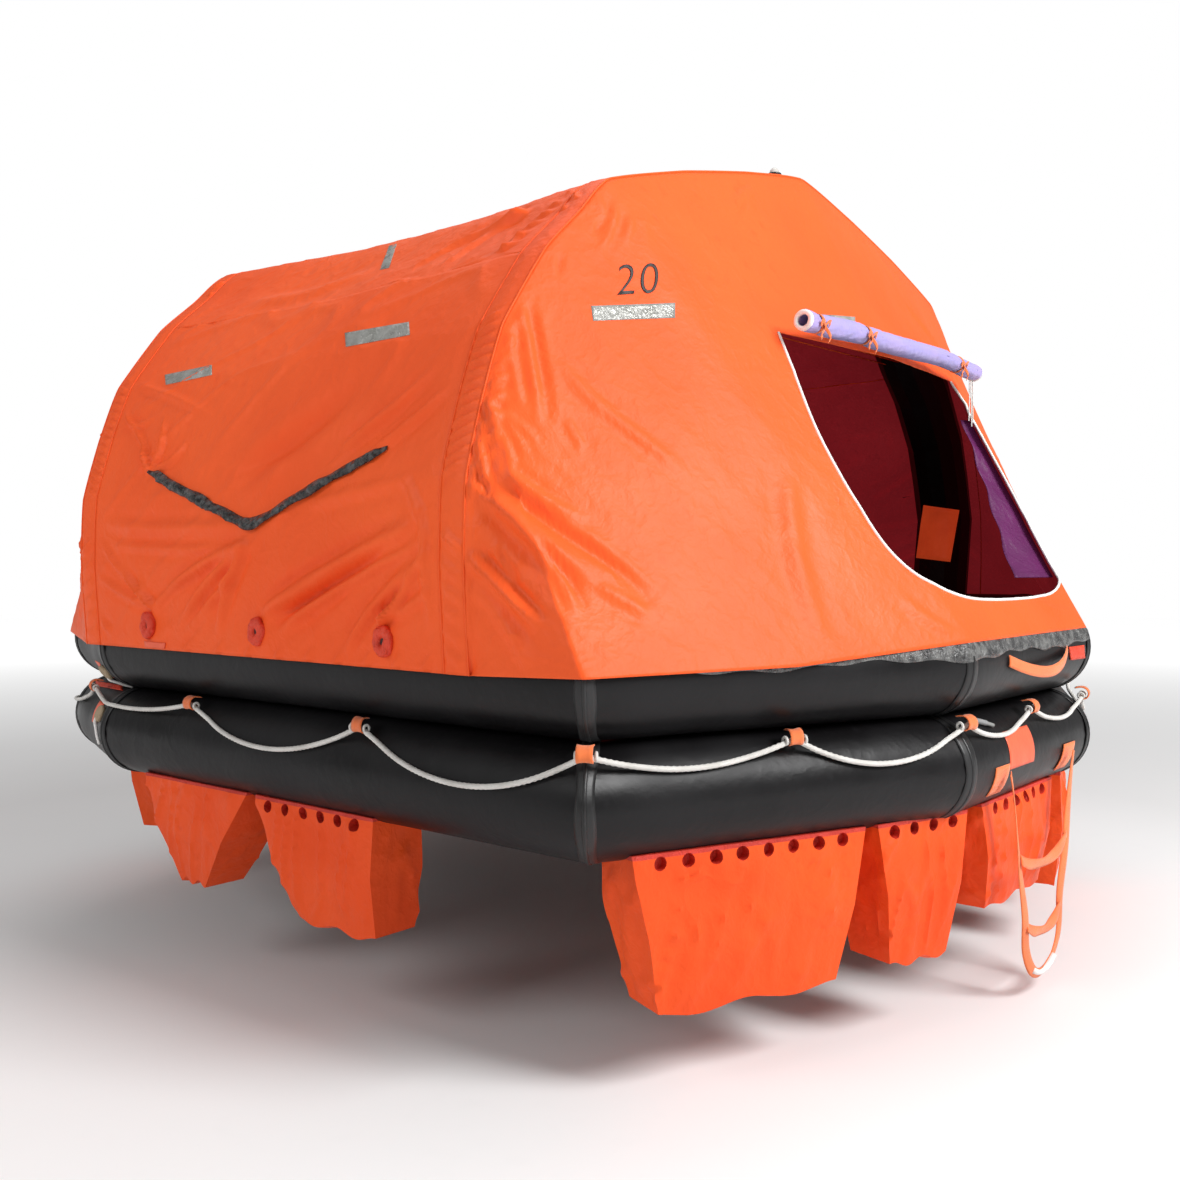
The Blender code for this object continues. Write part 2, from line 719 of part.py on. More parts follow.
def build_ladders(room):
    """Boarding ladders under both entrances, and the patches that they hang on."""
    for name, side in (("front", 1), ("rear", -1)):
        corner_row = RING_CORNERS[0] if side > 0 else RING_CORNERS[-1]
        x = corner_row[1] + side * (TUBE_RADIUS + LADDER_REACH)
        run = LADDER_TOP_Z - LADDER_STEPS[-1]
        lean = math.atan2(LADDER_TOP_HALF - LADDER_FOOT_HALF, run)
        meshes = []
        for hand in (-1, 1):
            middle = (LADDER_TOP_HALF + LADDER_FOOT_HALF) / 2
            centre = (x, hand * middle, (LADDER_TOP_Z + LADDER_STEPS[-1]) / 2)
            size = (STRAP_THICKNESS, STRAP_WIDTH, run / math.cos(lean) + STRAP_WIDTH)
            meshes.append(box_mesh(f"{name}_strap", size, centre, Matrix.Rotation(-hand * lean, 4, "X")))
        for height in LADDER_STEPS:
            half = LADDER_TOP_HALF - math.tan(lean) * (LADDER_TOP_Z - height)
            depth, tall = LADDER_STEP_SIZE
            meshes.append(box_mesh(f"{name}_step", (depth, 2 * half, tall), (x, 0, height)))
        ladder = union_object(f"boarding_ladder_{name}", meshes, WEBBING)
        move_origin(ladder, Vector((x, 0, LADDER_TOP_Z + LADDER_PIVOT_RISE - DRAFT)))
        for hand, label in ((-1, "starboard"), (1, "port")):
            patch_x = corner_row[1] + side * TUBE_RADIUS
            place = (
                patch_x + side * LADDER_PATCH_OUT,
                hand * LADDER_TOP_HALF,
                LADDER_TOP_Z - LADDER_PATCH_DROP,
            )
            plate = box_mesh("patch", LADDER_PATCH_SIZE, place)
            body = add_object(f"ladder_patch_{name}_{label}", plate, WEBBING)
            set_booleans(body, "DIFFERENCE", [room])


def front_panel_x(height):
    """Where the front panel's middle stands along X at a height."""
    share = (CANOPY_PROFILE[-1][1] - height) / (CANOPY_PROFILE[-1][1] - FRONT_EDGE[-1][2])
    edge_x = corner("bow").x + FRONT_EDGE[-1][1]
    start_x = end_edge_x(1)
    return start_x + (edge_x - start_x) * share


def build_door_roll():
    """The front entrance's closure, rolled up at the top of the opening, and its ties' loose ends."""
    height = DOOR_OUTLINE[0][1] + DOOR_ROLL_RADIUS
    centre = Vector((front_panel_x(height) + DOOR_ROLL_RADIUS + DOOR_ROLL_STAND_OFF, 0, height))
    bm = bmesh.new()
    turn = Matrix.Rotation(math.pi / 2, 4, "X")
    cylinder_in(bm, DOOR_ROLL_RADIUS, DOOR_ROLL_LENGTH, centre, turn, 20)
    add_object("door_roll_front", mesh_from(bm, "door_roll_front"), DOOR_LINING)
    top = height - DOOR_ROLL_RADIUS - GAP
    for name, y, length, lean in DOOR_CORDS:
        path = []
        for step in range(DOOR_CORD_STEPS + 1):
            share = step / DOOR_CORD_STEPS
            path.append(Vector((centre.x, y + lean * share**2, top - length * share)))
        mesh = tube_curve(f"door_cord_{name}", path, DOOR_CORD_RADIUS, 2)
        add_object(f"door_cord_{name}", mesh, ROPE)


def strap_mesh(name, path, across, thickness):
    """A flat strap along a path, as wide as a vector across it."""
    bm = bmesh.new()
    rows = []
    for index, point in enumerate(path):
        along = path[min(index + 1, len(path) - 1)] - path[max(index - 1, 0)]
        face = along.cross(across).normalized() * thickness / 2
        half = across / 2
        corners = ((-1, -1), (1, -1), (1, 1), (-1, 1))
        rows.append([bm.verts.new(point + half * a + face * b) for a, b in corners])
    bm.faces.new(rows[0])
    bm.faces.new(list(reversed(rows[-1])))
    for row, following in zip(rows, rows[1:]):
        for index in range(4):
            other = (index + 1) % 4
            bm.faces.new((row[index], row[other], following[other], following[index]))
    return mesh_from(bm, name, 60.0)


def flank_reach(height):
    """How far out the canopy's flank stands at a height."""
    for (low_y, low_z), (high_y, high_z) in zip(CANOPY_PROFILE, CANOPY_PROFILE[1:]):
        if low_z <= height <= high_z:
            return low_y + (high_y - low_y) * (height - low_z) / (high_z - low_z)
    raise ValueError(f"no cloth at height {height}")


def build_gutters():
    """The black rain gutter that crosses each flank in a shallow V."""
    width = Vector((0, 0, GUTTER_HEIGHT))
    for label, hand in (("starboard", -1), ("port", 1)):
        path = []
        for x, z in GUTTER_LINE:
            reach = flank_reach(z - GUTTER_HEIGHT / 2) + GUTTER_STAND_OFF + GUTTER_THICKNESS / 2
            path.append(Vector((x, hand * reach, z)))
        add_object(f"gutter_{label}", strap_mesh("gutter", path, width, GUTTER_THICKNESS), BLACK_RUBBER)


def build_handle(room):
    """The webbing handle on the upper tube at the open entrance."""
    x = corner("bow").x + TUBE_RADIUS
    path = []
    for step in range(HANDLE_STEPS + 1):
        share = step / HANDLE_STEPS
        lift = 4 * share * (1 - share)
        y = HANDLE_HALF * (2 * share - 1)
        path.append(Vector((x + HANDLE_STAND_OFF * lift, y, UPPER_TUBE_Z - HANDLE_SAG * lift)))
    mesh = strap_mesh("handle_strap", path, Vector((0, 0, STRAP_WIDTH)), STRAP_THICKNESS)
    handle = add_object("handle_strap_front", mesh, WEBBING)
    set_booleans(handle, "DIFFERENCE", [room])


def build_valves(rooms):
    """An inflation valve with its round cover on each tube, by the starboard stern corner."""
    for name, height, distance, tilt in VALVES:
        place, outward = ring_place(distance)
        level = math.cos(math.radians(tilt))
        direction = Vector((outward.x * level, outward.y * level, math.sin(math.radians(tilt))))
        turn = direction.to_track_quat("Z", "Y").to_matrix().to_4x4()
        seat = Vector((place.x, place.y, height)) + direction * TUBE_RADIUS
        plate = bmesh.new()
        cylinder_in(plate, VALVE_RADIUS, VALVE_HEIGHT, seat, turn, 24)
        stub = bmesh.new()
        middle = seat + direction * VALVE_HEIGHT / 2
        cylinder_in(stub, VALVE_RADIUS * VALVE_STUB_SHARE, VALVE_HEIGHT * 2, middle, turn, 16)
        meshes = [mesh_from(plate, f"valve_{name}_plate"), mesh_from(stub, f"valve_{name}_stub")]
        valve = union_object(f"valve_{name}", meshes, VALVE_PLASTIC)
        set_booleans(valve, "DIFFERENCE", [rooms[name]])


def build_underside():
    """The gas cylinder in its bands and the righting strap under the floor."""
    bm = bmesh.new()
    centre = Vector(CYLINDER_PLACE)
    turn = Matrix.Rotation(math.pi / 2, 4, "X")
    body = CYLINDER_LENGTH - 2 * CYLINDER_RADIUS
    cylinder_in(bm, CYLINDER_RADIUS, body, centre, turn, 24)
    meshes = [mesh_from(bm, "cylinder_body")]
    for hand in (-1, 1):
        cap = bmesh.new()
        place = centre + Vector((0, hand * (body / 2 - CYLINDER_END_LAP), 0))
        bmesh.ops.create_uvsphere(
            cap,
            u_segments=24,
            v_segments=12,
            radius=CYLINDER_RADIUS * CYLINDER_END_SHARE,
            matrix=Matrix.Translation(place) @ turn,
        )
        meshes.append(mesh_from(cap, "cylinder_end"))
    neck = bmesh.new()
    place = centre + Vector((0, CYLINDER_LENGTH / 2 + CYLINDER_NECK_OUT, 0))
    cylinder_in(neck, *CYLINDER_NECK, place, turn, 16)
    meshes.append(mesh_from(neck, "cylinder_neck"))
    union_object("gas_cylinder", meshes, STEEL)
    top = FLOOR_UNDERSIDE - GAP
    foot = centre.z - CYLINDER_RADIUS - GAP - STRAP_THICKNESS
    reach = CYLINDER_RADIUS + GAP + STRAP_THICKNESS
    for label, hand in (("starboard", -1), ("port", 1)):
        y = hand * CYLINDER_BAND_HALF
        outer = box_mesh("band", (2 * reach, STRAP_WIDTH, top - foot), (centre.x, y, (top + foot) / 2))
        band = add_object(f"cylinder_band_{label}", outer, WEBBING)
        hollow = bmesh.new()
        place = Vector((centre.x, y, centre.z))
        cylinder_in(hollow, CYLINDER_RADIUS + GAP, STRAP_WIDTH * 2, place, turn, 24)
        band_room = make_cutter(f"band_room_{label}", mesh_from(hollow, "band_room"))
        set_booleans(band, "DIFFERENCE", [band_room])
    half = -RING_CORNERS[1][2] - TUBE_RADIUS * 1.2
    height = FLOOR_UNDERSIDE - GAP - STRAP_THICKNESS / 2
    path = [Vector((RIGHTING_STRAP_X, y, height)) for y in (-half, half)]
    strap = strap_mesh("righting_strap", path, Vector((RIGHTING_STRAP_WIDTH, 0, 0)), STRAP_THICKNESS)
    add_object("righting_strap", strap, WEBBING)


def build_light():
    """The small light on the canopy, over the front arch."""
    top = CANOPY_PROFILE[-1][1]
    base = bmesh.new()
    place = Vector((ARCH_FRONT_X, 0, top + LIGHT_BASE_HEIGHT / 2 + GAP))
    cylinder_in(base, LIGHT_RADIUS, LIGHT_BASE_HEIGHT, place, Matrix.Identity(4), 20)
    dome = bmesh.new()
    bmesh.ops.create_uvsphere(
        dome,
        u_segments=20,
        v_segments=10,
        radius=LIGHT_RADIUS * 0.8,
        matrix=Matrix.Translation((ARCH_FRONT_X, 0, top + LIGHT_RADIUS)),
    )
    meshes = [mesh_from(base, "light_base"), mesh_from(dome, "light_dome")]
    union_object("canopy_light", meshes, VALVE_PLASTIC)


LOWER_TUBE_ROOM = make_cutter("lower_tube_room", ring_mesh("lower_tube_room", LOWER_TUBE_Z, TUBE_RADIUS + GAP))
UPPER_TUBE_ROOM = make_cutter("upper_tube_room", ring_mesh("upper_tube_room", UPPER_TUBE_Z, TUBE_RADIUS + GAP))
build_tubes_and_floor(LOWER_TUBE_ROOM)
build_arches(UPPER_TUBE_ROOM)
build_canopy(UPPER_TUBE_ROOM)
build_pockets(LOWER_TUBE_ROOM)
build_lifeline()
build_ladders(LOWER_TUBE_ROOM)
build_door_roll()
build_gutters()
build_handle(UPPER_TUBE_ROOM)
build_valves({"upper": UPPER_TUBE_ROOM, "lower": LOWER_TUBE_ROOM})
build_underside()
build_light()
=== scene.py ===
"""Looks of a canopied inflatable raft: cloth, tubes, webbing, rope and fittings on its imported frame.

Frame: +X out of the open front entrance, +Y to port, +Z up, metres, origin on the waterline.
"""
from __future__ import annotations

import logging
import math
from dataclasses import dataclass, field
from enum import Enum
from typing import Callable, Iterable, Sequence

import bpy
import numpy as np
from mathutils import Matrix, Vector, noise
from mathutils.bvhtree import BVHTree


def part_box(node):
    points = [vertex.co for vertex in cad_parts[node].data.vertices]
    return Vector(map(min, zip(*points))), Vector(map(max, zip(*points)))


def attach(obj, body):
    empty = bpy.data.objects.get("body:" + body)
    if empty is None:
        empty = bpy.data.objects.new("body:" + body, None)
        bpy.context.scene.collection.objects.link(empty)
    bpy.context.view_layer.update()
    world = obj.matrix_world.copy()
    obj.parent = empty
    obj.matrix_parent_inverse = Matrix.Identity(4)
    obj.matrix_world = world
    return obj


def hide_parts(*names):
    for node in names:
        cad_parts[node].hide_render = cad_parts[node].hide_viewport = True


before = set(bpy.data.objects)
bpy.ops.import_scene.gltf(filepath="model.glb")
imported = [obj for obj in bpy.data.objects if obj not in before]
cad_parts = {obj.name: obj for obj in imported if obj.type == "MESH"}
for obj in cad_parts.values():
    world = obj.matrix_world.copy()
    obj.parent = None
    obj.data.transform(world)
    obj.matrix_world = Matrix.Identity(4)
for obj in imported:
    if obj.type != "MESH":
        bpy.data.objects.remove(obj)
LOG = logging.getLogger("raft")
Surface = Callable[[np.ndarray, np.ndarray], np.ndarray]
Relief = Callable[[np.ndarray, np.ndarray, np.ndarray], np.ndarray]
Fold = tuple[np.ndarray, float, float]
Pair = tuple[float, float]
RAFT_MIDDLE = (0.0, 0.0, 0.4)


class End(Enum):
    """The two ends of the raft, with the sign of X."""

    FRONT = 1
    REAR = -1


class Body(Enum):
    """The bodies that pieces ride on."""

    RAFT = "raft"
    LADDER_FRONT = "ladder_front"
    LADDER_REAR = "ladder_rear"


def select_only(*pieces: bpy.types.Object) -> None:
    """Select these objects and nothing else, the first of them active."""
    for other in bpy.context.selected_objects:
        other.select_set(False)
    for piece in pieces:
        piece.select_set(True)
    if pieces:
        bpy.context.view_layer.objects.active = pieces[0]


def in_edit_mode(piece: bpy.types.Object, *steps: Callable[[], object]) -> None:
    """Run mesh operators on the whole of a piece.

    Args:
        piece: The object to edit.
        steps: Calls made in order, with everything selected before the first.
    """
    select_only(piece)
    bpy.ops.object.mode_set(mode="EDIT")
    bpy.ops.mesh.select_all(action="SELECT")
    for step in steps:
        step()
    bpy.ops.object.mode_set(mode="OBJECT")


def link(name: str, data: bpy.types.ID) -> bpy.types.Object:
    """Put an object that holds this data in the scene."""
    made = bpy.data.objects.new(name, data)
    bpy.context.scene.collection.objects.link(made)
    return made


def copied(piece: bpy.types.Object, name: str) -> bpy.types.Object:
    """A copy of a piece with its own mesh."""
    copy = link(name, piece.data.copy())
    copy.data.name = name
    return copy


def apply_place(piece: bpy.types.Object) -> bpy.types.Object:
    """Put a piece's place, turn and scale into its mesh."""
    select_only(piece)
    bpy.ops.object.transform_apply(location=True, rotation=True, scale=True)
    return piece


def apply_modifiers(piece: bpy.types.Object) -> None:
    """Apply every modifier of a piece in its order."""
    select_only(piece)
    for modifier in list(piece.modifiers):
        bpy.ops.object.modifier_apply(modifier=modifier.name)


def get_points(piece: bpy.types.Object) -> np.ndarray:
    """The piece's vertices as rows of X, Y, Z."""
    flat = np.empty(len(piece.data.vertices) * 3)
    piece.data.vertices.foreach_get("co", flat)
    return flat.reshape(-1, 3)


def set_points(piece: bpy.types.Object, points: np.ndarray) -> None:
    """Move the piece's vertices to these rows of X, Y, Z."""
    piece.data.vertices.foreach_set("co", np.ascontiguousarray(points, dtype=np.float32).ravel())
    piece.data.update()


def displace(piece: bpy.types.Object, amounts: np.ndarray) -> None:
    """Move each vertex along its own normal by its amount."""
    normals = np.empty(len(piece.data.vertices) * 3)
    piece.data.vertex_normals.foreach_get("vector", normals)
    set_points(piece, get_points(piece) + normals.reshape(-1, 3) * amounts[:, None])


def curved_grid(
    name: str,
    cells: tuple[int, int],
    surface: Surface,
    relief: Relief | None = None,
    metres: Pair = (1.0, 1.0),
) -> bpy.types.Object:
    """Shape a primitive grid into a curved sheet.

    Args:
        name: The piece's name.
        cells: Faces across and along the sheet.
        surface: Gives the points for shares across and along, each from 0 to 1.
        relief: Gives how far each point stands out of the surface, for shares and points.
        metres: The sheet's width and length, which its UV map then holds.

    Returns:
        The sheet, of one skin and with smooth faces.
    """
    select_only()
    bpy.ops.mesh.primitive_grid_add(x_subdivisions=cells[0], y_subdivisions=cells[1], size=1.0)
    piece = bpy.context.object
    piece.name = piece.data.name = name
    shares = np.round(get_points(piece) + 0.5, 6)
    across, along = shares[:, 0], shares[:, 1]
    set_points(piece, surface(across, along))
    if relief is not None:
        displace(piece, relief(across, along, get_points(piece)))
    layer = piece.data.uv_layers.active
    loops = np.empty(len(layer.data) * 2)
    layer.data.foreach_get("uv", loops)
    layer.data.foreach_set("uv", (loops.reshape(-1, 2) * np.array(metres)).ravel())
    piece.data.shade_smooth()
    return piece


def weld(piece: bpy.types.Object, distance: float = 0.0002) -> None:
    """Merge doubled vertices and turn the faces outwards."""
    in_edit_mode(
        piece,
        lambda: bpy.ops.mesh.remove_doubles(threshold=distance),
        lambda: bpy.ops.mesh.normals_make_consistent(inside=False),
    )


def weld_open(piece: bpy.types.Object, distance: float = 0.0002) -> None:
    """Merge the doubled vertices of an open sheet that meets itself."""
    in_edit_mode(piece, lambda: bpy.ops.mesh.remove_doubles(threshold=distance))


def face_away(piece: bpy.types.Object, middle: Sequence[float]) -> None:
    """Turn an open sheet over where most of it faces a point."""
    mesh = piece.data
    centre = Vector(middle)
    total = sum(p.normal.dot(p.center - centre) * p.area for p in mesh.polygons)
    if total < 0:
        in_edit_mode(piece, bpy.ops.mesh.flip_normals)


def thicken(piece: bpy.types.Object, thickness: float, offset: float = -1.0, lined: bool = False) -> None:
    """Give a sheet its wall.

    Args:
        piece: The sheet.
        thickness: Wall in metres.
        offset: Which side it grows to, -1 behind the faces and 1 in front.
        lined: Whether the new side takes the second material.
    """
    wall = piece.modifiers.new("wall", "SOLIDIFY")
    wall.thickness = thickness
    wall.offset = offset
    wall.material_offset = 1 if lined else 0
    apply_modifiers(piece)


def join(name: str, pieces: Sequence[bpy.types.Object]) -> bpy.types.Object:
    """Join pieces into one object of this name."""
    select_only(*pieces)
    if len(pieces) > 1:
        bpy.ops.object.join()
    whole = bpy.context.view_layer.objects.active
    whole.name = whole.data.name = name
    return whole


def mirrored(piece: bpy.types.Object, name: str) -> bpy.types.Object:
    """A copy of a closed piece on the other side of the raft, with its own mesh."""
    copy = copied(piece, name)
    set_points(copy, get_points(copy) * (1.0, -1.0, 1.0))
    in_edit_mode(copy, bpy.ops.mesh.flip_normals)
    return copy


def crumple(points: np.ndarray, scale: float, seed: float, octaves: int = 3) -> np.ndarray:
    """Soft rounded noise at each point, about -1 to 1.

    Args:
        points: Rows of X, Y, Z.
        scale: How many lumps to the metre.
        seed: Which part of the noise is used.
        octaves: How many finer layers it has.

    Returns:
        One value for each point.
    """
    shift = Vector((seed * 3.1, seed * 1.7, seed * 2.3))
    return np.array([noise.fractal(Vector(p) * scale + shift, 1.0, 2.1, octaves) for p in points])


def folds(points: np.ndarray, run: Sequence[float], length: float, width: float, seed: float) -> np.ndarray:
    """Thin raised folds drawn out along a direction, 0 to 1.

    Args:
        points: Rows of X, Y, Z.
        run: The direction that the folds run in.
        length: How long a fold is.
        width: How far apart the folds are.
        seed: Which part of the noise is used.

    Returns:
        One value for each point, highest on a fold's ridge.
    """
    axis = np.array(Vector(run).normalized())
    along = points @ axis
    squeezed = points / width + np.outer(along * (1 / length - 1 / width), axis) + seed * 7.3
    soft = np.array([noise.noise(Vector(p)) for p in squeezed])
    return np.clip(1.0 - np.abs(soft) * 5.0, 0.0, 1.0) ** 1.5


def length_of(path: np.ndarray) -> float:
    """How long a line through rows of points is."""
    return float(np.linalg.norm(np.diff(path, axis=0), axis=1).sum())


def distances_along(path: np.ndarray) -> np.ndarray:
    """How far along a line each of its points lies."""
    return np.concatenate([[0], np.cumsum(np.linalg.norm(np.diff(path, axis=0), axis=1))])


def rows_at(path: np.ndarray, at: np.ndarray, known: Sequence[float] | None = None) -> np.ndarray:
    """Points on the straight runs of a line.

    Args:
        path: Rows of the line's own points.
        at: The places asked for.
        known: The places of its own points, which are 0, 1, 2 and so on where none are given.

    Returns:
        One row for each place.
    """
    known = range(len(path)) if known is None else known
    return np.stack([np.interp(at, known, path[:, k]) for k in range(path.shape[1])], axis=1)


def spaced(path: np.ndarray, count: int) -> np.ndarray:
    """Points spaced evenly along a line."""
    gone = distances_along(path)
    return rows_at(path, np.linspace(0, gone[-1], count), gone)


def at_share(stops: np.ndarray, share: np.ndarray) -> np.ndarray:
    """Values between stops at shares of their row, from 0 to 1."""
    return np.interp(share * (len(stops) - 1), range(len(stops)), stops)


def spline_at(points: Sequence[Sequence[float]], at: np.ndarray) -> np.ndarray:
    """Points of a Catmull-Rom curve at fractional places between the given ones.

    Args:
        points: The curve's own points, with two or three numbers each.
        at: Places, where 0 is the first point and 1.5 is halfway from the second to the third.

    Returns:
        Rows of coordinates.
    """
    knots = np.array([tuple(p) for p in points], dtype=float)
    ends = np.vstack([2 * knots[0] - knots[1], knots, 2 * knots[-1] - knots[-2]])
    index = np.clip(np.asarray(at).astype(int), 0, len(knots) - 2)
    t = (at - index)[:, None]
    a, b, c, d = (ends[index + k] for k in range(4))
    return b + ((c - a) * t + (2 * a - 5 * b + 4 * c - d) * t**2 + (3 * b - a - 3 * c + d) * t**3) / 2


def smooth_path(points: Sequence[Sequence[float]], count: int) -> np.ndarray:
    """Points spaced evenly along a Catmull-Rom curve.

    Args:
        points: The curve's own points, with two or three numbers each.
        count: How many points to return.

    Returns:
        Rows of coordinates.
    """
    spans = len(points) - 1
    return spaced(spline_at(points, np.linspace(0, spans, spans * 16 + 1)), count)


def smooth_corner(points: Sequence[Sequence[float]], room: float, count: int) -> np.ndarray:
    """Points spaced evenly along a bent line, its corners a little rounded.

    Args:
        points: The line's ends and corners.
        room: How far from each corner the rounding starts.
        count: How many points to return.

    Returns:
        Rows of coordinates.
    """
    knots = [np.array(p, dtype=float) for p in points]
    line = [knots[0]]
    for before, corner, after in zip(knots, knots[1:], knots[2:]):
        back, ahead = before - corner, after - corner
        start = corner + back / np.linalg.norm(back) * room
        end = corner + ahead / np.linalg.norm(ahead) * room
        for t in np.linspace(0, 1, 9):
            line.append(start * (1 - t) ** 2 + corner * 2 * t * (1 - t) + end * t**2)
    line.append(knots[-1])
    return spaced(np.array(line), count)


def ribbon(
    name: str,
    path: np.ndarray,
    across: Sequence[float],
    width: float,
    thickness: float = 0.0022,
    curl: float = 0.0,
) -> bpy.types.Object:
    """A flat woven strap along a path.

    Args:
        name: The piece's name.
        path: Rows of points along its middle.
        across: The direction of its width.
        width: How wide it is.
        thickness: How thick it is.
        curl: How far its middle stands out of its edges.

    Returns:
        The strap, closed, with a UV map in metres.
    """
    steps = len(path) - 1
    side = np.array(Vector(across).normalized())
    tangent = np.gradient(path, axis=0)
    face = np.cross(tangent, side)
    face /= np.maximum(np.linalg.norm(face, axis=1), 1e-9)[:, None]

    def surface(u: np.ndarray, v: np.ndarray) -> np.ndarray:
        """Points across and along the strap."""
        rise = curl * (1 - (2 * u - 1) ** 2)
        reach = np.outer((u - 0.5) * width, side)
        return rows_at(path, v * steps) + reach + rows_at(face, v * steps) * rise[:, None]

    piece = curved_grid(name, (4, steps), surface, metres=(width, length_of(path)))
    thicken(piece, thickness, 0.0)
    return piece


def curve_along(name: str, path: Iterable[Sequence[float]], radius: float, sides: int) -> bpy.types.Object:
    """A curve with a round section and closed ends along a path.

    Args:
        name: The curve's name.
        path: Rows of points along its middle.
        radius: Half its thickness.
        sides: How many sides it has, an even number.

    Returns:
        The curve's object.
    """
    curve = bpy.data.curves.new(name, "CURVE")
    curve.dimensions = "3D"
    curve.bevel_depth = radius
    curve.bevel_resolution = sides // 2 - 2
    curve.use_fill_caps = True
    rows = list(path)
    spline = curve.splines.new("POLY")
    spline.points.add(len(rows) - 1)
    for target, place in zip(spline.points, rows):
        target.co = (*place, 1.0)
    return link(name, curve)


def round_cord(name: str, path: np.ndarray, radius: float, sides: int) -> bpy.types.Object:
    """A round cord or piping along a path, made into a closed mesh."""
    select_only(curve_along(name, path, radius, sides))
    bpy.ops.object.convert(target="MESH")
    piece = bpy.context.object
    weld(piece, 0.00005)
    piece.data.shade_smooth()
    return piece


def add_ring(
    radii: Pair, segments: tuple[int, int], place: Sequence[float], turn: Sequence[float] = (0.0, 0.0, 0.0)
) -> bpy.types.Object:
    """Add a smooth torus.

    Args:
        radii: Its own radius and its wall's.
        segments: Faces round it and round its wall.
        place: Its middle.
        turn: Its rotation out of level.

    Returns:
        The torus, its place in its mesh.
    """
    select_only()
    bpy.ops.mesh.primitive_torus_add(
        major_radius=radii[0],
        minor_radius=radii[1],
        major_segments=segments[0],
        minor_segments=segments[1],
        location=place,
        rotation=turn,
    )
    ring = apply_place(bpy.context.object)
    ring.data.shade_smooth()
    return ring


@dataclass
class Bench:
    """Places and links the nodes of one shader tree."""

    tree: bpy.types.NodeTree

    def node(self, kind: str, settings: dict[str, object] | None = None, **sockets: object) -> bpy.types.Node:
        """Add a node.

        Args:
            kind: The node's type name.
            settings: Its own properties.
            sockets: Values or links for its inputs, with underscores for spaces.

        Returns:
            The new node.
        """
        made = self.tree.nodes.new(kind)
        for key, value in (settings or {}).items():
            setattr(made, key, value)
        for key, value in sockets.items():
            self.feed(made.inputs[key.replace("_", " ")], value)
        return made

    def feed(self, socket: bpy.types.NodeSocket, value: object) -> None:
        """Link a socket to another one, or set its value."""
        if isinstance(value, bpy.types.NodeSocket):
            self.tree.links.new(value, socket)
        else:
            socket.default_value = value

    def sum(self, operation: str, first: object, second: object = 0.0) -> bpy.types.NodeSocket:
        """The result of a Math node on two values or links."""
        made = self.node("ShaderNodeMath", {"operation": operation})
        self.feed(made.inputs[0], first)
        self.feed(made.inputs[1], second)
        return made.outputs[0]

    def mix(self, share: object, first: object, second: object) -> bpy.types.NodeSocket:
        """A colour between two, by a share from 0 to 1."""
        made = self.node("ShaderNodeMix", {"data_type": "RGBA"})
        self.feed(made.inputs[0], share)
        self.feed(made.inputs[6], first)
        self.feed(made.inputs[7], second)
        return made.outputs[2]

    def noise(self, place: bpy.types.NodeSocket, scale: object, detail: float = 4.0) -> bpy.types.NodeSocket:
        """The value of a noise texture at a place."""
        made = self.node("ShaderNodeTexNoise", Vector=place, Scale=scale, Detail=detail)
        return made.outputs["Fac"]

    def spread(self, value: object, low: float, high: float, to: Pair = (0.0, 1.0)) -> bpy.types.NodeSocket:
        """A value's range stretched to another and held inside it."""
        made = self.node("ShaderNodeMapRange")
        for index, number in enumerate((value, low, high, *to)):
            self.feed(made.inputs[index], number)
        return made.outputs[0]


def new_group(
    name: str, inputs: dict[str, tuple[str, object]], outputs: dict[str, str]
) -> tuple[Bench, bpy.types.NodeOutputs, bpy.types.NodeInputs]:
    """Start a shader node group with named sockets.

    Args:
        name: The group's name.
        inputs: Kind and starting value of each input.
        outputs: Kind of each output.

    Returns:
        A bench on the group, what it is given and what it gives.
    """
    tree = bpy.data.node_groups.new(name, "ShaderNodeTree")
    for key, (kind, value) in inputs.items():
        socket = tree.interface.new_socket(key, in_out="INPUT", socket_type=f"NodeSocket{kind}")
        if value is not None:
            socket.default_value = value
    for key, kind in outputs.items():
        tree.interface.new_socket(key, in_out="OUTPUT", socket_type=f"NodeSocket{kind}")
    return Bench(tree), tree.nodes.new("NodeGroupInput").outputs, tree.nodes.new("NodeGroupOutput").inputs


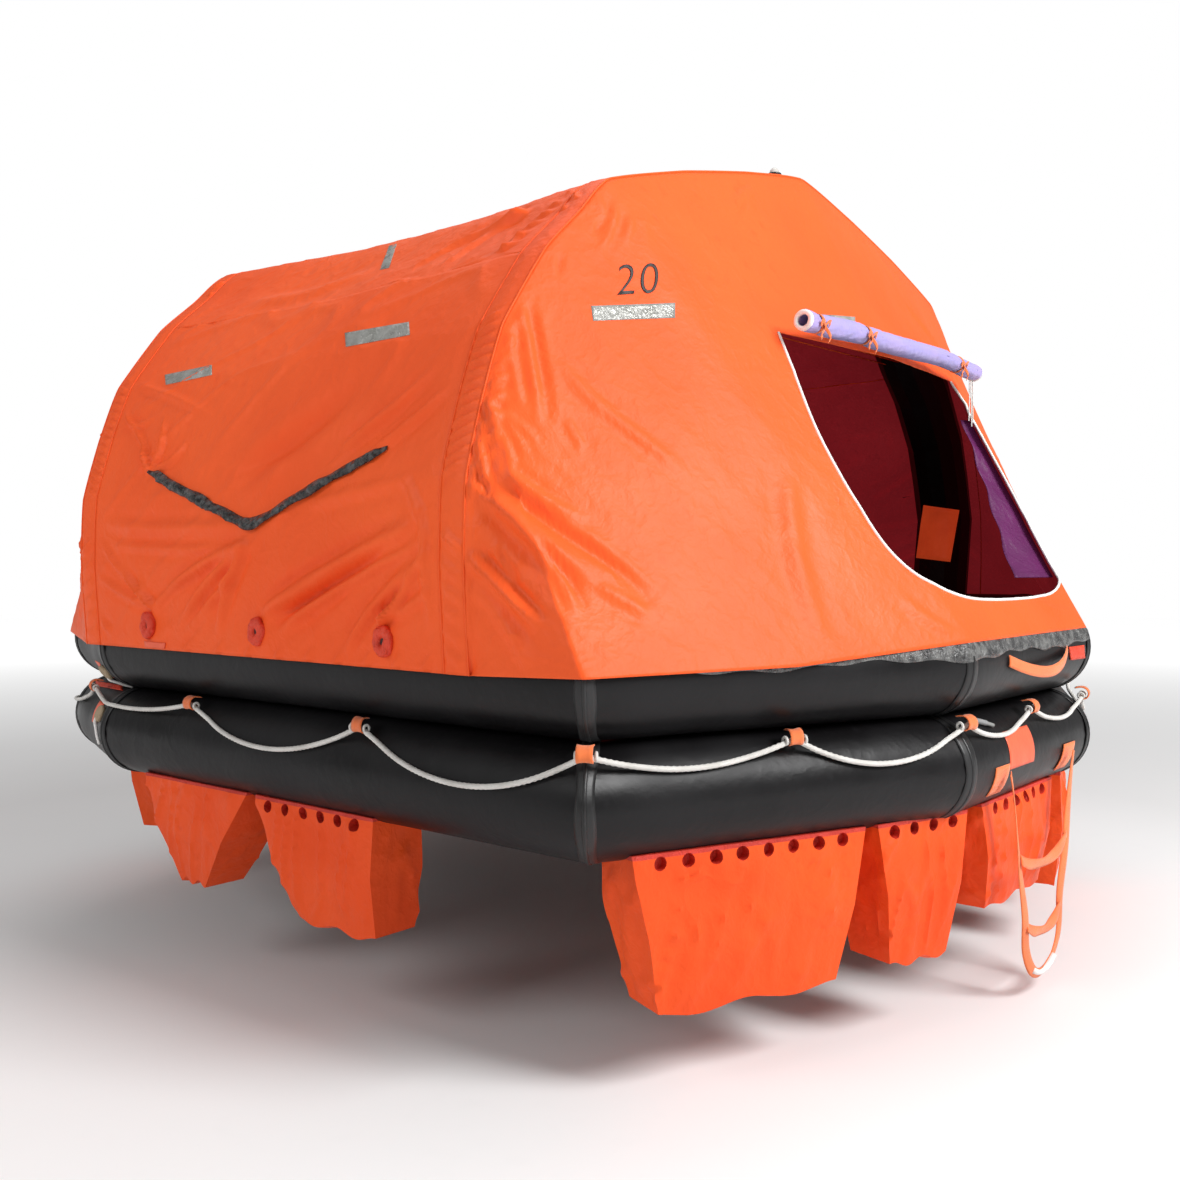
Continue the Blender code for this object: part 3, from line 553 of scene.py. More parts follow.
class Effects:
    """The shared shader groups: crinkles, wear with painted glints, and woven ribs."""

    def __init__(self) -> None:
        """Build each group once."""
        self.crinkle = self.build_crinkle()
        self.wear_and_glints = self.build_wear_and_glints()
        self.ribs = self.build_ribs()

    def build_crinkle(self) -> bpy.types.NodeTree:
        """Fine sharp creases of thin coated cloth: a Height and a Mask of the creases."""
        bench, given, result = new_group(
            "cloth_crinkle",
            {"Vector": ("Vector", None), "Scale": ("Float", 9.0), "Fine": ("Float", 0.4)},
            {"Height": "Float", "Mask": "Float"},
        )
        place, scale = given["Vector"], given["Scale"]
        bend = bench.noise(place, bench.sum("MULTIPLY", scale, 0.45), 2.0)
        moved = bench.node("ShaderNodeVectorMath", {"operation": "MULTIPLY_ADD"})
        bench.feed(moved.inputs[0], bench.node("ShaderNodeCombineXYZ", X=bend, Y=bend, Z=bend).outputs[0])
        moved.inputs[1].default_value = (0.16, -0.12, 0.14)
        bench.feed(moved.inputs[2], place)
        broad = bench.sum("ABSOLUTE", bench.sum("SUBTRACT", bench.noise(moved.outputs[0], scale, 2.0), 0.5))
        grain = bench.noise(moved.outputs[0], bench.sum("MULTIPLY", scale, 3.7), 3.0)
        fine = bench.sum("ABSOLUTE", bench.sum("SUBTRACT", grain, 0.5))
        ridge = bench.spread(broad, 0.0, 0.16, (1.0, 0.0))
        small = bench.spread(fine, 0.0, 0.20, (1.0, 0.0))
        height = bench.sum("ADD", ridge, bench.sum("MULTIPLY", small, given["Fine"]))
        bench.feed(result["Height"], height)
        bench.feed(result["Mask"], ridge)
        return bench.tree

    def build_wear_and_glints(self) -> bpy.types.NodeTree:
        """Uneven colour and scuffs over a clean colour, with how rough each place is; on the gutter film the
        second colour is painted highlight, pale glints on its crinkles.
        """
        bench, given, result = new_group(
            "weathering",
            {
                "Vector": ("Vector", None),
                "Clean": ("Color", (1, 1, 1, 1)),
                "Worn": ("Color", (0.5, 0.5, 0.5, 1)),
                "Amount": ("Float", 0.5),
                "Scale": ("Float", 3.0),
                "Rough": ("Float", 0.5),
                "Spread": ("Float", 0.15),
            },
            {"Color": "Color", "Roughness": "Float"},
        )
        place, scale = given["Vector"], given["Scale"]
        cloud = bench.spread(bench.noise(place, scale, 6.0), 0.38, 0.68)
        speck = bench.spread(bench.noise(place, bench.sum("MULTIPLY", scale, 14.0), 8.0), 0.56, 0.72)
        both = bench.sum("MAXIMUM", cloud, bench.sum("MULTIPLY", speck, 0.7))
        share = bench.sum("MULTIPLY", both, given["Amount"])
        bench.feed(result["Color"], bench.mix(share, given["Clean"], given["Worn"]))
        swing = bench.sum("MULTIPLY", bench.sum("SUBTRACT", cloud, 0.5), given["Spread"])
        bench.feed(result["Roughness"], bench.sum("ADD", given["Rough"], swing))
        return bench.tree

    def build_ribs(self) -> bpy.types.NodeTree:
        """Woven ribs along and across a strap's UV map, which holds metres."""
        bench, given, result = new_group(
            "woven_ribs",
            {"Vector": ("Vector", None), "Across": ("Float", 900.0), "Along": ("Float", 450.0)},
            {"Height": "Float"},
        )
        parts = bench.node("ShaderNodeSeparateXYZ", Vector=given["Vector"])
        warp = bench.sum("SINE", bench.sum("MULTIPLY", parts.outputs[0], given["Across"]))
        weft = bench.sum("SINE", bench.sum("MULTIPLY", parts.outputs[1], given["Along"]))
        bench.feed(result["Height"], bench.sum("MULTIPLY", warp, weft))
        return bench.tree


EFFECTS = Effects()


@dataclass(frozen=True)
class Finish:
    """A procedural material: weathered colour with a crinkled or ribbed surface; its second colour is wear,
    and painted highlight on the gutter film, and its glow is painted light.
    """

    name: str
    clean: tuple[float, float, float]
    # second colour: wear, and on the gutter film painted highlight
    worn: tuple[float, float, float]
    amount: float = 0.5
    patch_scale: float = 3.0
    rough: float = 0.5
    rough_spread: float = 0.15
    metallic: float = 0.0
    crease_scale: float = 9.0
    crease_fine: float = 0.4
    depth: float = 0.004
    strength: float = 0.4
    sheen: float = 0.0
    coat: float = 0.0
    gloss: float = 0.5
    ribs: Pair | None = None
    # glow: painted light, an emission of the surface's own colour on parts that are no lamp
    glow: float = 0.0

    def make(self) -> bpy.types.Material:
        """Build the material's nodes.

        Returns:
            The finished material.
        """
        material = bpy.data.materials.new(self.name)
        material.use_nodes = True
        bench = Bench(material.node_tree)
        shader = material.node_tree.nodes["Principled BSDF"]
        place = bench.node("ShaderNodeTexCoord").outputs["Object"]
        wear_and_glints = bench.node("ShaderNodeGroup", {"node_tree": EFFECTS.wear_and_glints})
        values = {
            "Vector": place,
            "Clean": (*self.clean, 1.0),
            "Worn": (*self.worn, 1.0),
            "Amount": self.amount,
            "Scale": self.patch_scale,
            "Rough": self.rough,
            "Spread": self.rough_spread,
        }
        for key, value in values.items():
            bench.feed(wear_and_glints.inputs[key], value)
        bench.feed(shader.inputs["Base Color"], wear_and_glints.outputs["Color"])
        bench.feed(shader.inputs["Roughness"], wear_and_glints.outputs["Roughness"])
        shader.inputs["Metallic"].default_value = self.metallic
        shader.inputs["Sheen Weight"].default_value = self.sheen
        shader.inputs["Coat Weight"].default_value = self.coat
        shader.inputs["Coat Roughness"].default_value = 0.25
        shader.inputs["Specular IOR Level"].default_value = self.gloss
        # painted light: the surface glows with its own colour by its glow
        bench.feed(shader.inputs["Emission Color"], wear_and_glints.outputs["Color"])
        shader.inputs["Emission Strength"].default_value = self.glow
        bench.feed(shader.inputs["Normal"], self.bump(bench, place))
        return material

    def bump(self, bench: Bench, place: bpy.types.NodeSocket) -> bpy.types.NodeSocket:
        """The normal of the finish's fine relief.

        Args:
            bench: The material's bench.
            place: Where each point lies.

        Returns:
            The normal's socket.
        """
        if self.ribs is None:
            crinkle = bench.node("ShaderNodeGroup", {"node_tree": EFFECTS.crinkle})
            for key, value in {"Vector": place, "Scale": self.crease_scale, "Fine": self.crease_fine}.items():
                bench.feed(crinkle.inputs[key], value)
            height = crinkle.outputs["Height"]
        else:
            ribs = bench.node("ShaderNodeGroup", {"node_tree": EFFECTS.ribs})
            chart = bench.node("ShaderNodeUVMap").outputs["UV"]
            for key, value in {"Vector": chart, "Across": self.ribs[0], "Along": self.ribs[1]}.items():
                bench.feed(ribs.inputs[key], value)
            height = ribs.outputs["Height"]
        made = bench.node("ShaderNodeBump", Strength=self.strength, Distance=self.depth, Height=height)
        return made.outputs["Normal"]


@dataclass(frozen=True)
class Finishes:
    """Every finish of the raft."""

    canopy: Finish = Finish(
        "canopy_cloth", (0.92, 0.118, 0.022), (0.82, 0.074, 0.011), 0.5, 1.4, 0.50, 0.14,
        depth=0.005, strength=0.30, gloss=0.20,
    )
    pocket: Finish = Finish(
        "pocket_cloth", (0.90, 0.094, 0.013), (0.74, 0.052, 0.007), 0.5, 2.4, 0.50, 0.16,
        depth=0.006, strength=0.35, gloss=0.20,
    )
    # painted shade: the inside of the orange cloth as it looks in shade, dark maroon, lifted again by a
    # painted glow
    lining: Finish = Finish(
        "maroon_lining", (0.520, 0.030, 0.042), (0.330, 0.016, 0.026), 0.6, 2.0, 0.5, 0.15,
        depth=0.008, strength=0.5, gloss=0.3, glow=0.20,
    )
    # painted shade: the lavender lining as it looks in shade, dark purple, with a painted glow
    flap: Finish = Finish(
        "purple_lining", (0.110, 0.018, 0.088), (0.060, 0.010, 0.052), 0.6, 6.0, 0.5, 0.15,
        crease_scale=12.0, depth=0.005, strength=0.5, gloss=0.2, glow=0.10,
    )
    rubber: Finish = Finish(
        "tube_rubber", (0.0045, 0.0040, 0.0045), (0.017, 0.0165, 0.018), 0.45, 2.2, 0.42, 0.18,
        crease_scale=7.0, depth=0.002, strength=0.30, coat=0.01, gloss=0.22,
    )
    tape: Finish = Finish(
        "seam_tape", (0.008, 0.0078, 0.008), (0.030, 0.0295, 0.031), 0.6, 5.0, 0.44, 0.2,
        crease_scale=20.0, depth=0.001, strength=0.25, gloss=0.4,
    )
    webbing: Finish = Finish(
        "orange_webbing", (0.95, 0.205, 0.040), (0.70, 0.120, 0.020), 0.5, 8.0, 0.72, 0.1,
        depth=0.0006, strength=0.7, sheen=0.3, ribs=(2400.0, 1500.0),
    )
    rope: Finish = Finish(
        "white_rope", (0.80, 0.78, 0.74), (0.50, 0.47, 0.42), 0.45, 18.0, 0.78, 0.1,
        crease_scale=160.0, depth=0.001, strength=0.6, sheen=0.3,
    )
    foil: Finish = Finish(
        "reflective_tape", (0.27, 0.27, 0.245), (0.44, 0.44, 0.42), 0.8, 16.0, 0.34, 0.25,
        metallic=0.25, crease_scale=26.0, depth=0.003, strength=0.6,
    )
    # painted highlight: the pale second colour, in fine flecks, paints glints on the black film's crinkles
    gutter: Finish = Finish(
        "gutter_film", (0.004, 0.0038, 0.004), (0.50, 0.50, 0.50), 0.20, 46.0, 0.18, 0.10,
        crease_scale=22.0, depth=0.006, strength=0.8, gloss=0.35,
    )
    film: Finish = Finish(
        "hem_film", (0.030, 0.029, 0.030), (0.26, 0.26, 0.25), 0.65, 26.0, 0.24, 0.2,
        metallic=0.10, crease_scale=26.0, depth=0.004, strength=0.8, coat=0.3,
    )
    roll: Finish = Finish(
        "lavender_cloth", (0.330, 0.290, 0.620), (0.420, 0.300, 0.560), 0.6, 5.0, 0.52, 0.15,
        crease_scale=14.0, depth=0.003, strength=0.4, sheen=0.2,
    )
    white: Finish = Finish(
        "white_edging", (0.86, 0.84, 0.82), (0.62, 0.58, 0.55), 0.4, 12.0, 0.55, 0.1,
        crease_scale=60.0, depth=0.001, strength=0.3,
    )
    beige: Finish = Finish(
        "beige_cover", (0.400, 0.300, 0.190), (0.260, 0.190, 0.120), 0.6, 16.0, 0.6, 0.1,
        crease_scale=40.0, depth=0.002, strength=0.4,
    )
    patch: Finish = Finish(
        "coral_patch", (0.90, 0.130, 0.055), (0.62, 0.090, 0.040), 0.4, 9.0, 0.5, 0.15,
        crease_scale=24.0, depth=0.001, strength=0.3,
    )
    # used for the printed number, and as painted shade in the ports' openings
    ink_and_shade: Finish = Finish(
        "black_ink", (0.016, 0.010, 0.010), (0.060, 0.018, 0.012), 0.5, 30.0, 0.6, 0.1,
        crease_scale=40.0, depth=0.0005, strength=0.2,
    )
    floor: Finish = Finish(
        "floor_rubber", (0.030, 0.030, 0.032), (0.090, 0.086, 0.082), 0.5, 3.0, 0.6, 0.15,
        crease_scale=8.0, depth=0.004, strength=0.3,
    )
    # painted shade: the pocket cloth as it looks in shade, used in the holes and on the band under the tube
    hole: Finish = Finish(
        "deep_red_cloth", (0.62, 0.030, 0.012), (0.36, 0.014, 0.008), 0.6, 12.0, 0.6, 0.1,
        crease_scale=30.0, depth=0.004, strength=0.5,
    )
    cuff: Finish = Finish(
        "red_orange_cuff", (0.78, 0.055, 0.014), (0.56, 0.028, 0.008), 0.6, 14.0, 0.5, 0.1,
        crease_scale=34.0, depth=0.004, strength=0.6,
    )
    # painted light: a glow lifts the patch on the arch's leg, which stands in shade inside the canopy
    inner: Finish = Finish(
        "leg_patch_cloth", (0.80, 0.085, 0.020), (0.56, 0.045, 0.012), 0.5, 9.0, 0.5, 0.1,
        crease_scale=24.0, depth=0.002, strength=0.3, glow=0.34,
    )
    pull: Finish = Finish(
        "grey_webbing", (0.30, 0.30, 0.30), (0.16, 0.16, 0.16), 0.6, 20.0, 0.6, 0.1,
        crease_scale=60.0, depth=0.002, strength=0.5,
    )
    plastic: Finish = Finish(
        "clear_plastic", (0.58, 0.57, 0.54), (0.34, 0.32, 0.30), 0.4, 30.0, 0.22, 0.1,
        crease_scale=50.0, depth=0.0006, strength=0.2, coat=0.4,
    )
    enamel: Finish = Finish(
        "grey_enamel", (0.34, 0.34, 0.33), (0.20, 0.19, 0.18), 0.5, 9.0, 0.4, 0.2,
        metallic=0.2, crease_scale=40.0, depth=0.0004, strength=0.2,
    )


class Palette:
    """The materials made from the finishes, by name."""

    def __init__(self, finishes: Finishes) -> None:
        """Make every material once."""
        for key in finishes.__dataclass_fields__:
            setattr(self, key, getattr(finishes, key).make())


@dataclass(frozen=True)
class PhotoView:
    """Where the raft is seen from, and the rays of that view."""

    place: tuple[float, float, float] = (3.391, -4.111, 0.754)
    azimuth: float = 39.4
    pitch: float = 1.33
    focal: float = 1210.0
    frame_size: float = 1180.0
    sensor: float = 36.0
    far: float = 60.0

    def axes(self) -> tuple[Vector, Vector, Vector]:
        """The view's right, up and forward directions."""
        a, p = math.radians(self.azimuth), math.radians(self.pitch)
        level = Vector((-math.sin(a), math.cos(a), 0.0))
        forward = level * math.cos(p) - Vector((0, 0, math.sin(p)))
        up = level * math.sin(p) + Vector((0, 0, math.cos(p)))
        return Vector((math.cos(a), math.sin(a), 0.0)), up, forward

    def ray(self, px: float, py: float) -> Vector:
        """The direction of a ray through a point of the frame, counted from its upper left."""
        right, up, forward = self.axes()
        half = self.frame_size / 2
        return (forward * self.focal + right * (px - half) + up * (half - py)).normalized()

    def make_camera(self) -> None:
        """Make the scene's camera."""
        data = bpy.data.cameras.new("view")
        data.sensor_width = self.sensor
        data.lens = self.focal * self.sensor / self.frame_size
        data.clip_end = self.far
        camera = link("view", data)
        camera.location = self.place
        camera.rotation_euler = (math.radians(90 - self.pitch), 0.0, math.radians(self.azimuth))
        bpy.context.scene.camera = camera


@dataclass(frozen=True)
class Quad:
    """Four corners of a flat mark in the view, from upper left clockwise."""

    corners: tuple[Pair, ...]

    def at(self, u: float, v: float) -> Pair:
        """The point at shares across and down the mark."""
        (a, b, c, d) = (np.array(p) for p in self.corners)
        point = (a * (1 - u) + b * u) * (1 - v) + (d * (1 - u) + c * u) * v
        return float(point[0]), float(point[1])


class Skin:
    """A finished piece's surface, on which marks and edgings are laid."""

    def __init__(self, piece: bpy.types.Object) -> None:
        """Read the shape of a piece as it is shown."""
        points = [tuple(piece.matrix_world @ v.co) for v in piece.data.vertices]
        faces = [tuple(p.vertices) for p in piece.data.polygons]
        self.tree = BVHTree.FromPolygons(points, faces)

    def hit(self, origin: Sequence[float], direction: Sequence[float], lift: float = 0.0) -> Vector:
        """Where a ray meets the surface.

        Args:
            origin: The ray's start.
            direction: Its direction.
            lift: How far in front of the surface the answer lies.

        Returns:
            The point, or the nearest one on the surface where the ray misses.
        """
        aim = Vector(direction).normalized()
        place, normal, _, _ = self.tree.ray_cast(Vector(origin), aim)
        if place is None:
            place, normal, _, _ = self.tree.find_nearest(Vector(origin) + aim * 5.0)
        if normal.dot(aim) > 0:
            normal = -normal
        return place + normal * lift


@dataclass
class Painter:
    """Lays flat marks on the surfaces that the view sees."""

    view: PhotoView
    number_lift: float = 0.0016
    paint: float = 0.0008

    def cast(self, skin: Skin, px: float, py: float, lift: float) -> Vector:
        """The point of a surface behind a point of the view."""
        return skin.hit(self.view.place, self.view.ray(px, py), lift)

    def patch(
        self,
        name: str,
        quad: Quad,
        skin: Skin,
        cells: tuple[int, int],
        lift: float = 0.0012,
        thickness: float = 0.0008,
    ) -> bpy.types.Object:
        """A thin patch on a surface, its corners given in the view.

        Args:
            name: The piece's name.
            quad: Its corners.
            skin: What it is stuck on.
            cells: Faces across and down.
            lift: How far its face stands out.
            thickness: How thick it is.

        Returns:
            The patch, closed.
        """

        def surface(u: np.ndarray, v: np.ndarray) -> np.ndarray:
            """Points of the patch on the surface under it."""
            return np.array([self.cast(skin, *quad.at(a, 1 - b), lift) for a, b in zip(u, v)])

        corners = [self.cast(skin, *quad.at(a, b), lift) for a, b in ((0, 0), (1, 0), (0, 1))]
        size = ((corners[1] - corners[0]).length, (corners[2] - corners[0]).length)
        piece = curved_grid(name, cells, surface, metres=size)
        face_away(piece, RAFT_MIDDLE)
        thicken(piece, thickness)
        return piece

    def number(self, name: str, text: str, quad: Quad, skin: Skin) -> bpy.types.Object:
        """A painted number on a surface.

        Args:
            name: The piece's name.
            text: The digits.
            quad: The corners of its box in the view.
            skin: What it is painted on.

        Returns:
            The number as a thin closed mesh.
        """
        select_only()
        bpy.ops.object.text_add()
        digits = bpy.context.object.data
        digits.body = text
        digits.offset = -0.012
        digits.space_character = 1.1
        bpy.ops.object.convert(target="MESH")
        piece = bpy.context.object
        piece.name = piece.data.name = name
        in_edit_mode(
            piece,
            lambda: bpy.ops.mesh.quads_convert_to_tris(),
            lambda: bpy.ops.mesh.subdivide(number_cuts=2),
            lambda: bpy.ops.mesh.remove_doubles(threshold=0.0005),
        )
        flat = get_points(piece)
        low, high = flat.min(axis=0), flat.max(axis=0)
        share = (flat - low) / np.maximum(high - low, 1e-6)
        laid = [self.cast(skin, *quad.at(u, 1 - v), self.number_lift) for u, v, _ in share]
        set_points(piece, np.array(laid))
        face_away(piece, RAFT_MIDDLE)
        thicken(piece, self.paint)
        return piece


@dataclass
class HullPlan:
    """The tubes' centreline in plan and the heights of the tubes."""

    tube_radius: float = 0.1625
    lower: float = 0.1125
    upper: float = 0.4378
    starboard: tuple[Pair, ...] = (
        (1.810, -0.520),
        (1.344, -1.612),
        (-0.878, -1.612),
        (-1.446, -1.398),
        (-1.810, -0.570),
    )
    corners: np.ndarray = field(init=False)
    mitres: np.ndarray = field(init=False)
    starts: np.ndarray = field(init=False)
    perimeter: float = field(init=False)

    def __post_init__(self) -> None:
        """Work out the closed centreline, its mitres and the distances of its corners."""
        half = np.array(self.starboard)
        self.corners = np.vstack([half, half[::-1] * (1, -1)])
        ahead = np.roll(self.corners, -1, axis=0) - self.corners
        lengths = np.linalg.norm(ahead, axis=1)
        along = ahead / lengths[:, None]
        left = np.stack([-along[:, 1], along[:, 0]], axis=1)
        before = np.roll(left, 1, axis=0)
        bisector = left + before
        bisector /= np.linalg.norm(bisector, axis=1)[:, None]
        self.mitres = bisector / (bisector * left).sum(axis=1)[:, None]
        self.starts = np.concatenate([[0.0], np.cumsum(lengths)])
        self.perimeter = float(self.starts[-1])

    def corner_distances(self) -> np.ndarray:
        """Distances of the ten corners from the bow's middle, starboard way round."""
        return self.starts[:-1] - self.starboard[0][1]

    def around(
        self, distance: np.ndarray, angle: np.ndarray, radius: np.ndarray | float, height: float
    ) -> np.ndarray:
        """Points on a tube.

        Args:
            distance: How far round the raft from the bow's middle, starboard way round.
            angle: Angle up from level at the outer side, in radians.
            radius: Distance from the tube's centreline.
            height: The centreline's height.

        Returns:
            Rows of X, Y, Z.
        """
        gone = np.mod(np.atleast_1d(distance).astype(float) + self.starboard[0][1], self.perimeter)
        legs = len(self.corners)
        leg = np.clip(np.searchsorted(self.starts, gone, side="right") - 1, 0, legs - 1)
        share = ((gone - self.starts[leg]) / (self.starts[leg + 1] - self.starts[leg]))[:, None]
        out = np.atleast_1d(radius * np.cos(angle))[:, None]
        following = (leg + 1) % legs
        near = self.corners[leg] + self.mitres[leg] * out
        far = self.corners[following] + self.mitres[following] * out
        plan = near * (1 - share) + far * share
        return np.column_stack([plan, height + radius * np.sin(angle)])

    def spot(self, distance: float, angle: float, radius: float, height: float) -> np.ndarray:
        """One point, given as around takes it."""
        return self.around(np.array([distance]), np.array([angle]), radius, height)[0]

    def patch(
        self,
        name: str,
        height: float,
        start: float,
        angles: Pair,
        size: Pair,
        cells: tuple[int, int],
        lift: float,
        thickness: float,
    ) -> bpy.types.Object:
        """A patch glued round a tube.

        Args:
            name: The patch's name.
            height: The tube's height.
            start: Its first edge, as a distance round the raft.
            angles: Its lower edge and how far up it reaches from there, in degrees.
            size: Its height and its length.
            cells: Faces up and along it.
            lift: How far its face stands out of the tube.
            thickness: How thick it is.

        Returns:
            The patch, closed.
        """

        def surface(u: np.ndarray, v: np.ndarray) -> np.ndarray:
            """Points of the patch on the tube."""
            angle = np.radians(angles[0] + angles[1] * (1 - u))
            return self.around(start + size[1] * v, angle, self.tube_radius + lift, height)

        piece = curved_grid(name, cells, surface, metres=size)
        face_away(piece, (0.0, 0.0, height))
        thicken(piece, thickness)
        return piece


def settle(
    piece: bpy.types.Object, slot: str, *materials: bpy.types.Material, body: Body = Body.RAFT
) -> bpy.types.Object:
    """Give a piece its body and its materials, and report it.

    Args:
        piece: The finished piece.
        slot: The record's material slot; not used.
        materials: Its materials, the outer one first, or none where it has them already.
        body: What it rides on.

    Returns:
        The piece.
    """
    for material in materials:
        piece.data.materials.append(material)
    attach(piece, body.value)
    LOG.info("%s: %d faces on %s", piece.name, len(piece.data.polygons), body.value)
    return piece


@dataclass
class BuoyancyTubes:
    """The two inflated rings with their seam tapes and the film under the canopy's hem."""

    plan: HullPlan
    palette: Palette
    spacing: float = 0.05
    sides: int = 48
    tape_half: float = 0.030
    tape_lift: float = 0.0012
    ridge_half: float = 0.007
    front_film: Pair = (-1.76, 1.76)
    rear_film_start: float = 4.36

    def stations(self) -> np.ndarray:
        """Distances of the rings' cross-sections, closer together at the corners."""
        near = (0.012, 0.026, 0.045, 0.075)
        corners = list(self.plan.corner_distances())
        stops = []
        for start, end in zip(corners, corners[1:] + [corners[0] + self.plan.perimeter]):
            inner = np.linspace(start + near[-1], end - near[-1], max(int((end - start) / self.spacing), 3))
            stops += [start, *(start + n for n in near[:-1]), *inner, *(end - n for n in reversed(near[:-1]))]
        return np.array(stops + [corners[0] + self.plan.perimeter])

    def corner_nearness(self, distance: np.ndarray, reach: float) -> np.ndarray:
        """How near each place is to a corner seam, 1 on it and fading over a reach."""
        gaps = np.abs(distance[:, None] - self.plan.corner_distances()[None, :])
        gaps = np.minimum(gaps, self.plan.perimeter - gaps).min(axis=1)
        return np.exp(-((gaps / reach) ** 2))

    def build_tube(self, name: str, height: float, seed: float) -> bpy.types.Object:
        """Build one ring with its soft dents and the puckers at its seams.

        Args:
            name: The CAD node that it stands for, and its own name's start.
            height: Its centreline's height.
            seed: Which noise it takes.

        Returns:
            The ring.
        """
        stops = self.stations()

        def surface(u: np.ndarray, v: np.ndarray) -> np.ndarray:
            """Points of the ring."""
            return self.plan.around(at_share(stops, v), 2 * math.pi * u, self.plan.tube_radius, height)

        def relief(u: np.ndarray, v: np.ndarray, points: np.ndarray) -> np.ndarray:
            """Dents over the ring and puckers that run away from each corner seam."""
            near = self.corner_nearness(at_share(stops, v), 0.07)
            pucker = folds(points, (1, 0.3, 0), 0.35, 0.035, seed) * near
            return crumple(points, 2.6, seed, 2) * 0.0022 - pucker * 0.0035 - near * 0.0015

        ring = curved_grid(f"{name}_skin", (self.sides, len(stops) - 1), surface, relief)
        weld(ring, 0.0006)
        settle(ring, "black_rubber", self.palette.rubber)
        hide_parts(name)
        return ring

    def build_band(self, height: float, middle: float, half: float, lift: float) -> bpy.types.Object:
        """A tape wound once round a tube.

        Args:
            height: The tube's height.
            middle: Its distance round the raft.
            half: Half its width.
            lift: How far it stands out of the tube.

        Returns:
            The band, closed.
        """

        def surface(u: np.ndarray, v: np.ndarray) -> np.ndarray:
            """Points of the band."""
            edge = np.where(np.abs(2 * v - 1) > 0.99, lift * 0.35, lift)
            ragged = 1 + 0.10 * np.sin(u * 2 * math.pi * 5 + middle * 9)
            return self.plan.around(
                middle + (2 * v - 1) * half * ragged, 2 * math.pi * u, self.plan.tube_radius + edge, height
            )

        band = curved_grid("band", (self.sides, 6), surface, metres=(1.0, 2 * half))
        weld_open(band)
        face_away(band, (0.0, 0.0, height))
        thicken(band, 0.0014)
        return band

    def build_tapes(self, name: str, height: float) -> bpy.types.Object:
        """The broad tape and the narrow ridge over every corner seam of a tube."""
        bands = []
        for place in self.plan.corner_distances():
            bands.append(self.build_band(height, place, self.tape_half, self.tape_lift))
            bands.append(self.build_band(height, place, self.ridge_half, self.tape_lift * 2.4))
        return settle(join(f"{name}_seam_tapes", bands), "black_rubber", self.palette.tape)

    def build_film(self, name: str, start: float, end: float) -> bpy.types.Object:
        """The crinkled film that shows on the upper tube under the canopy's hem.

        Args:
            name: The film's name.
            start: Where it begins, as a distance round the raft.
            end: Where it ends.

        Returns:
            The film, closed.
        """
        turns = [s + lap * self.plan.perimeter for lap in (-1, 0, 1) for s in self.stations()]
        stops = np.array([start, *sorted({round(s, 6) for s in turns if start < s < end}), end])

        def surface(u: np.ndarray, v: np.ndarray) -> np.ndarray:
            """Points of the film on the tube."""
            distance = at_share(stops, v)
            wave = 0.04 * np.sin(distance * 9.0) + 0.03 * np.sin(distance * 31.0)
            angle = math.radians(8) + wave * (1 - u) + u * math.radians(20)
            return self.plan.around(distance, angle, self.plan.tube_radius + 0.0022, self.plan.upper)

        def relief(u: np.ndarray, v: np.ndarray, points: np.ndarray) -> np.ndarray:
            """Crinkles, flat at both edges."""
            flat = np.minimum(np.minimum(u, 1 - u) * 4, 1)
            return folds(points, (0.3, 0.2, 1.0), 0.07, 0.020, 4.0) * 0.0025 * flat

        film = curved_grid(name, (8, (len(stops) - 1) * 3), surface, relief)
        face_away(film, (0.0, 0.0, self.plan.upper))
        thicken(film, 0.0010)
        return settle(film, "black_rubber", self.palette.film)

    def build(self) -> None:
        """Build both rings and what is glued on them."""
        self.build_tube("buoyancy_tube_lower", self.plan.lower, 1.0)
        self.build_tube("buoyancy_tube_upper", self.plan.upper, 2.0)
        self.build_tapes("lower_tube", self.plan.lower)
        self.build_tapes("upper_tube", self.plan.upper)
        self.build_film("hem_film_front", *self.front_film)
        self.build_film("hem_film_rear", self.rear_film_start, self.plan.perimeter - self.rear_film_start)


@dataclass(frozen=True)
class Crease:
    """One fold of the cloth: its line in the view, its half width and how far it stands out, in metres."""

    line: tuple[Pair, ...]
    width: float
    height: float


def fan(start: Pair, ends: Sequence[Pair], width: float, height: float, bow: float = 0.0) -> list[Crease]:
    """Folds that spread from one point of the view.

    Args:
        start: Where they begin.
        ends: Where each ends.
        width: Their half width.
        height: How far they stand out.
        bow: How far each is bowed at its middle, as a share of its length.

    Returns:
        The folds.
    """
    made = []
    for end in ends:
        dx, dy = end[0] - start[0], end[1] - start[1]
        middle = (start[0] + dx / 2 - dy * bow, start[1] + dy / 2 + dx * bow)
        made.append(Crease((start, middle, end), width, height))
    return made


def pleat_row(
    lower: Sequence[Pair], upper: Sequence[Pair], count: int, width: float, height: float
) -> list[Crease]:
    """Short folds side by side between two lines of the view.

    Args:
        lower: The line that the folds begin on.
        upper: The line that they end on.
        count: How many folds there are.
        width: Their half width.
        height: How far they stand out.

    Returns:
        The folds.
    """
    sides = zip(smooth_path(lower, count), smooth_path(upper, count))
    return [Crease((tuple(a), tuple(b)), width, height) for a, b in sides]


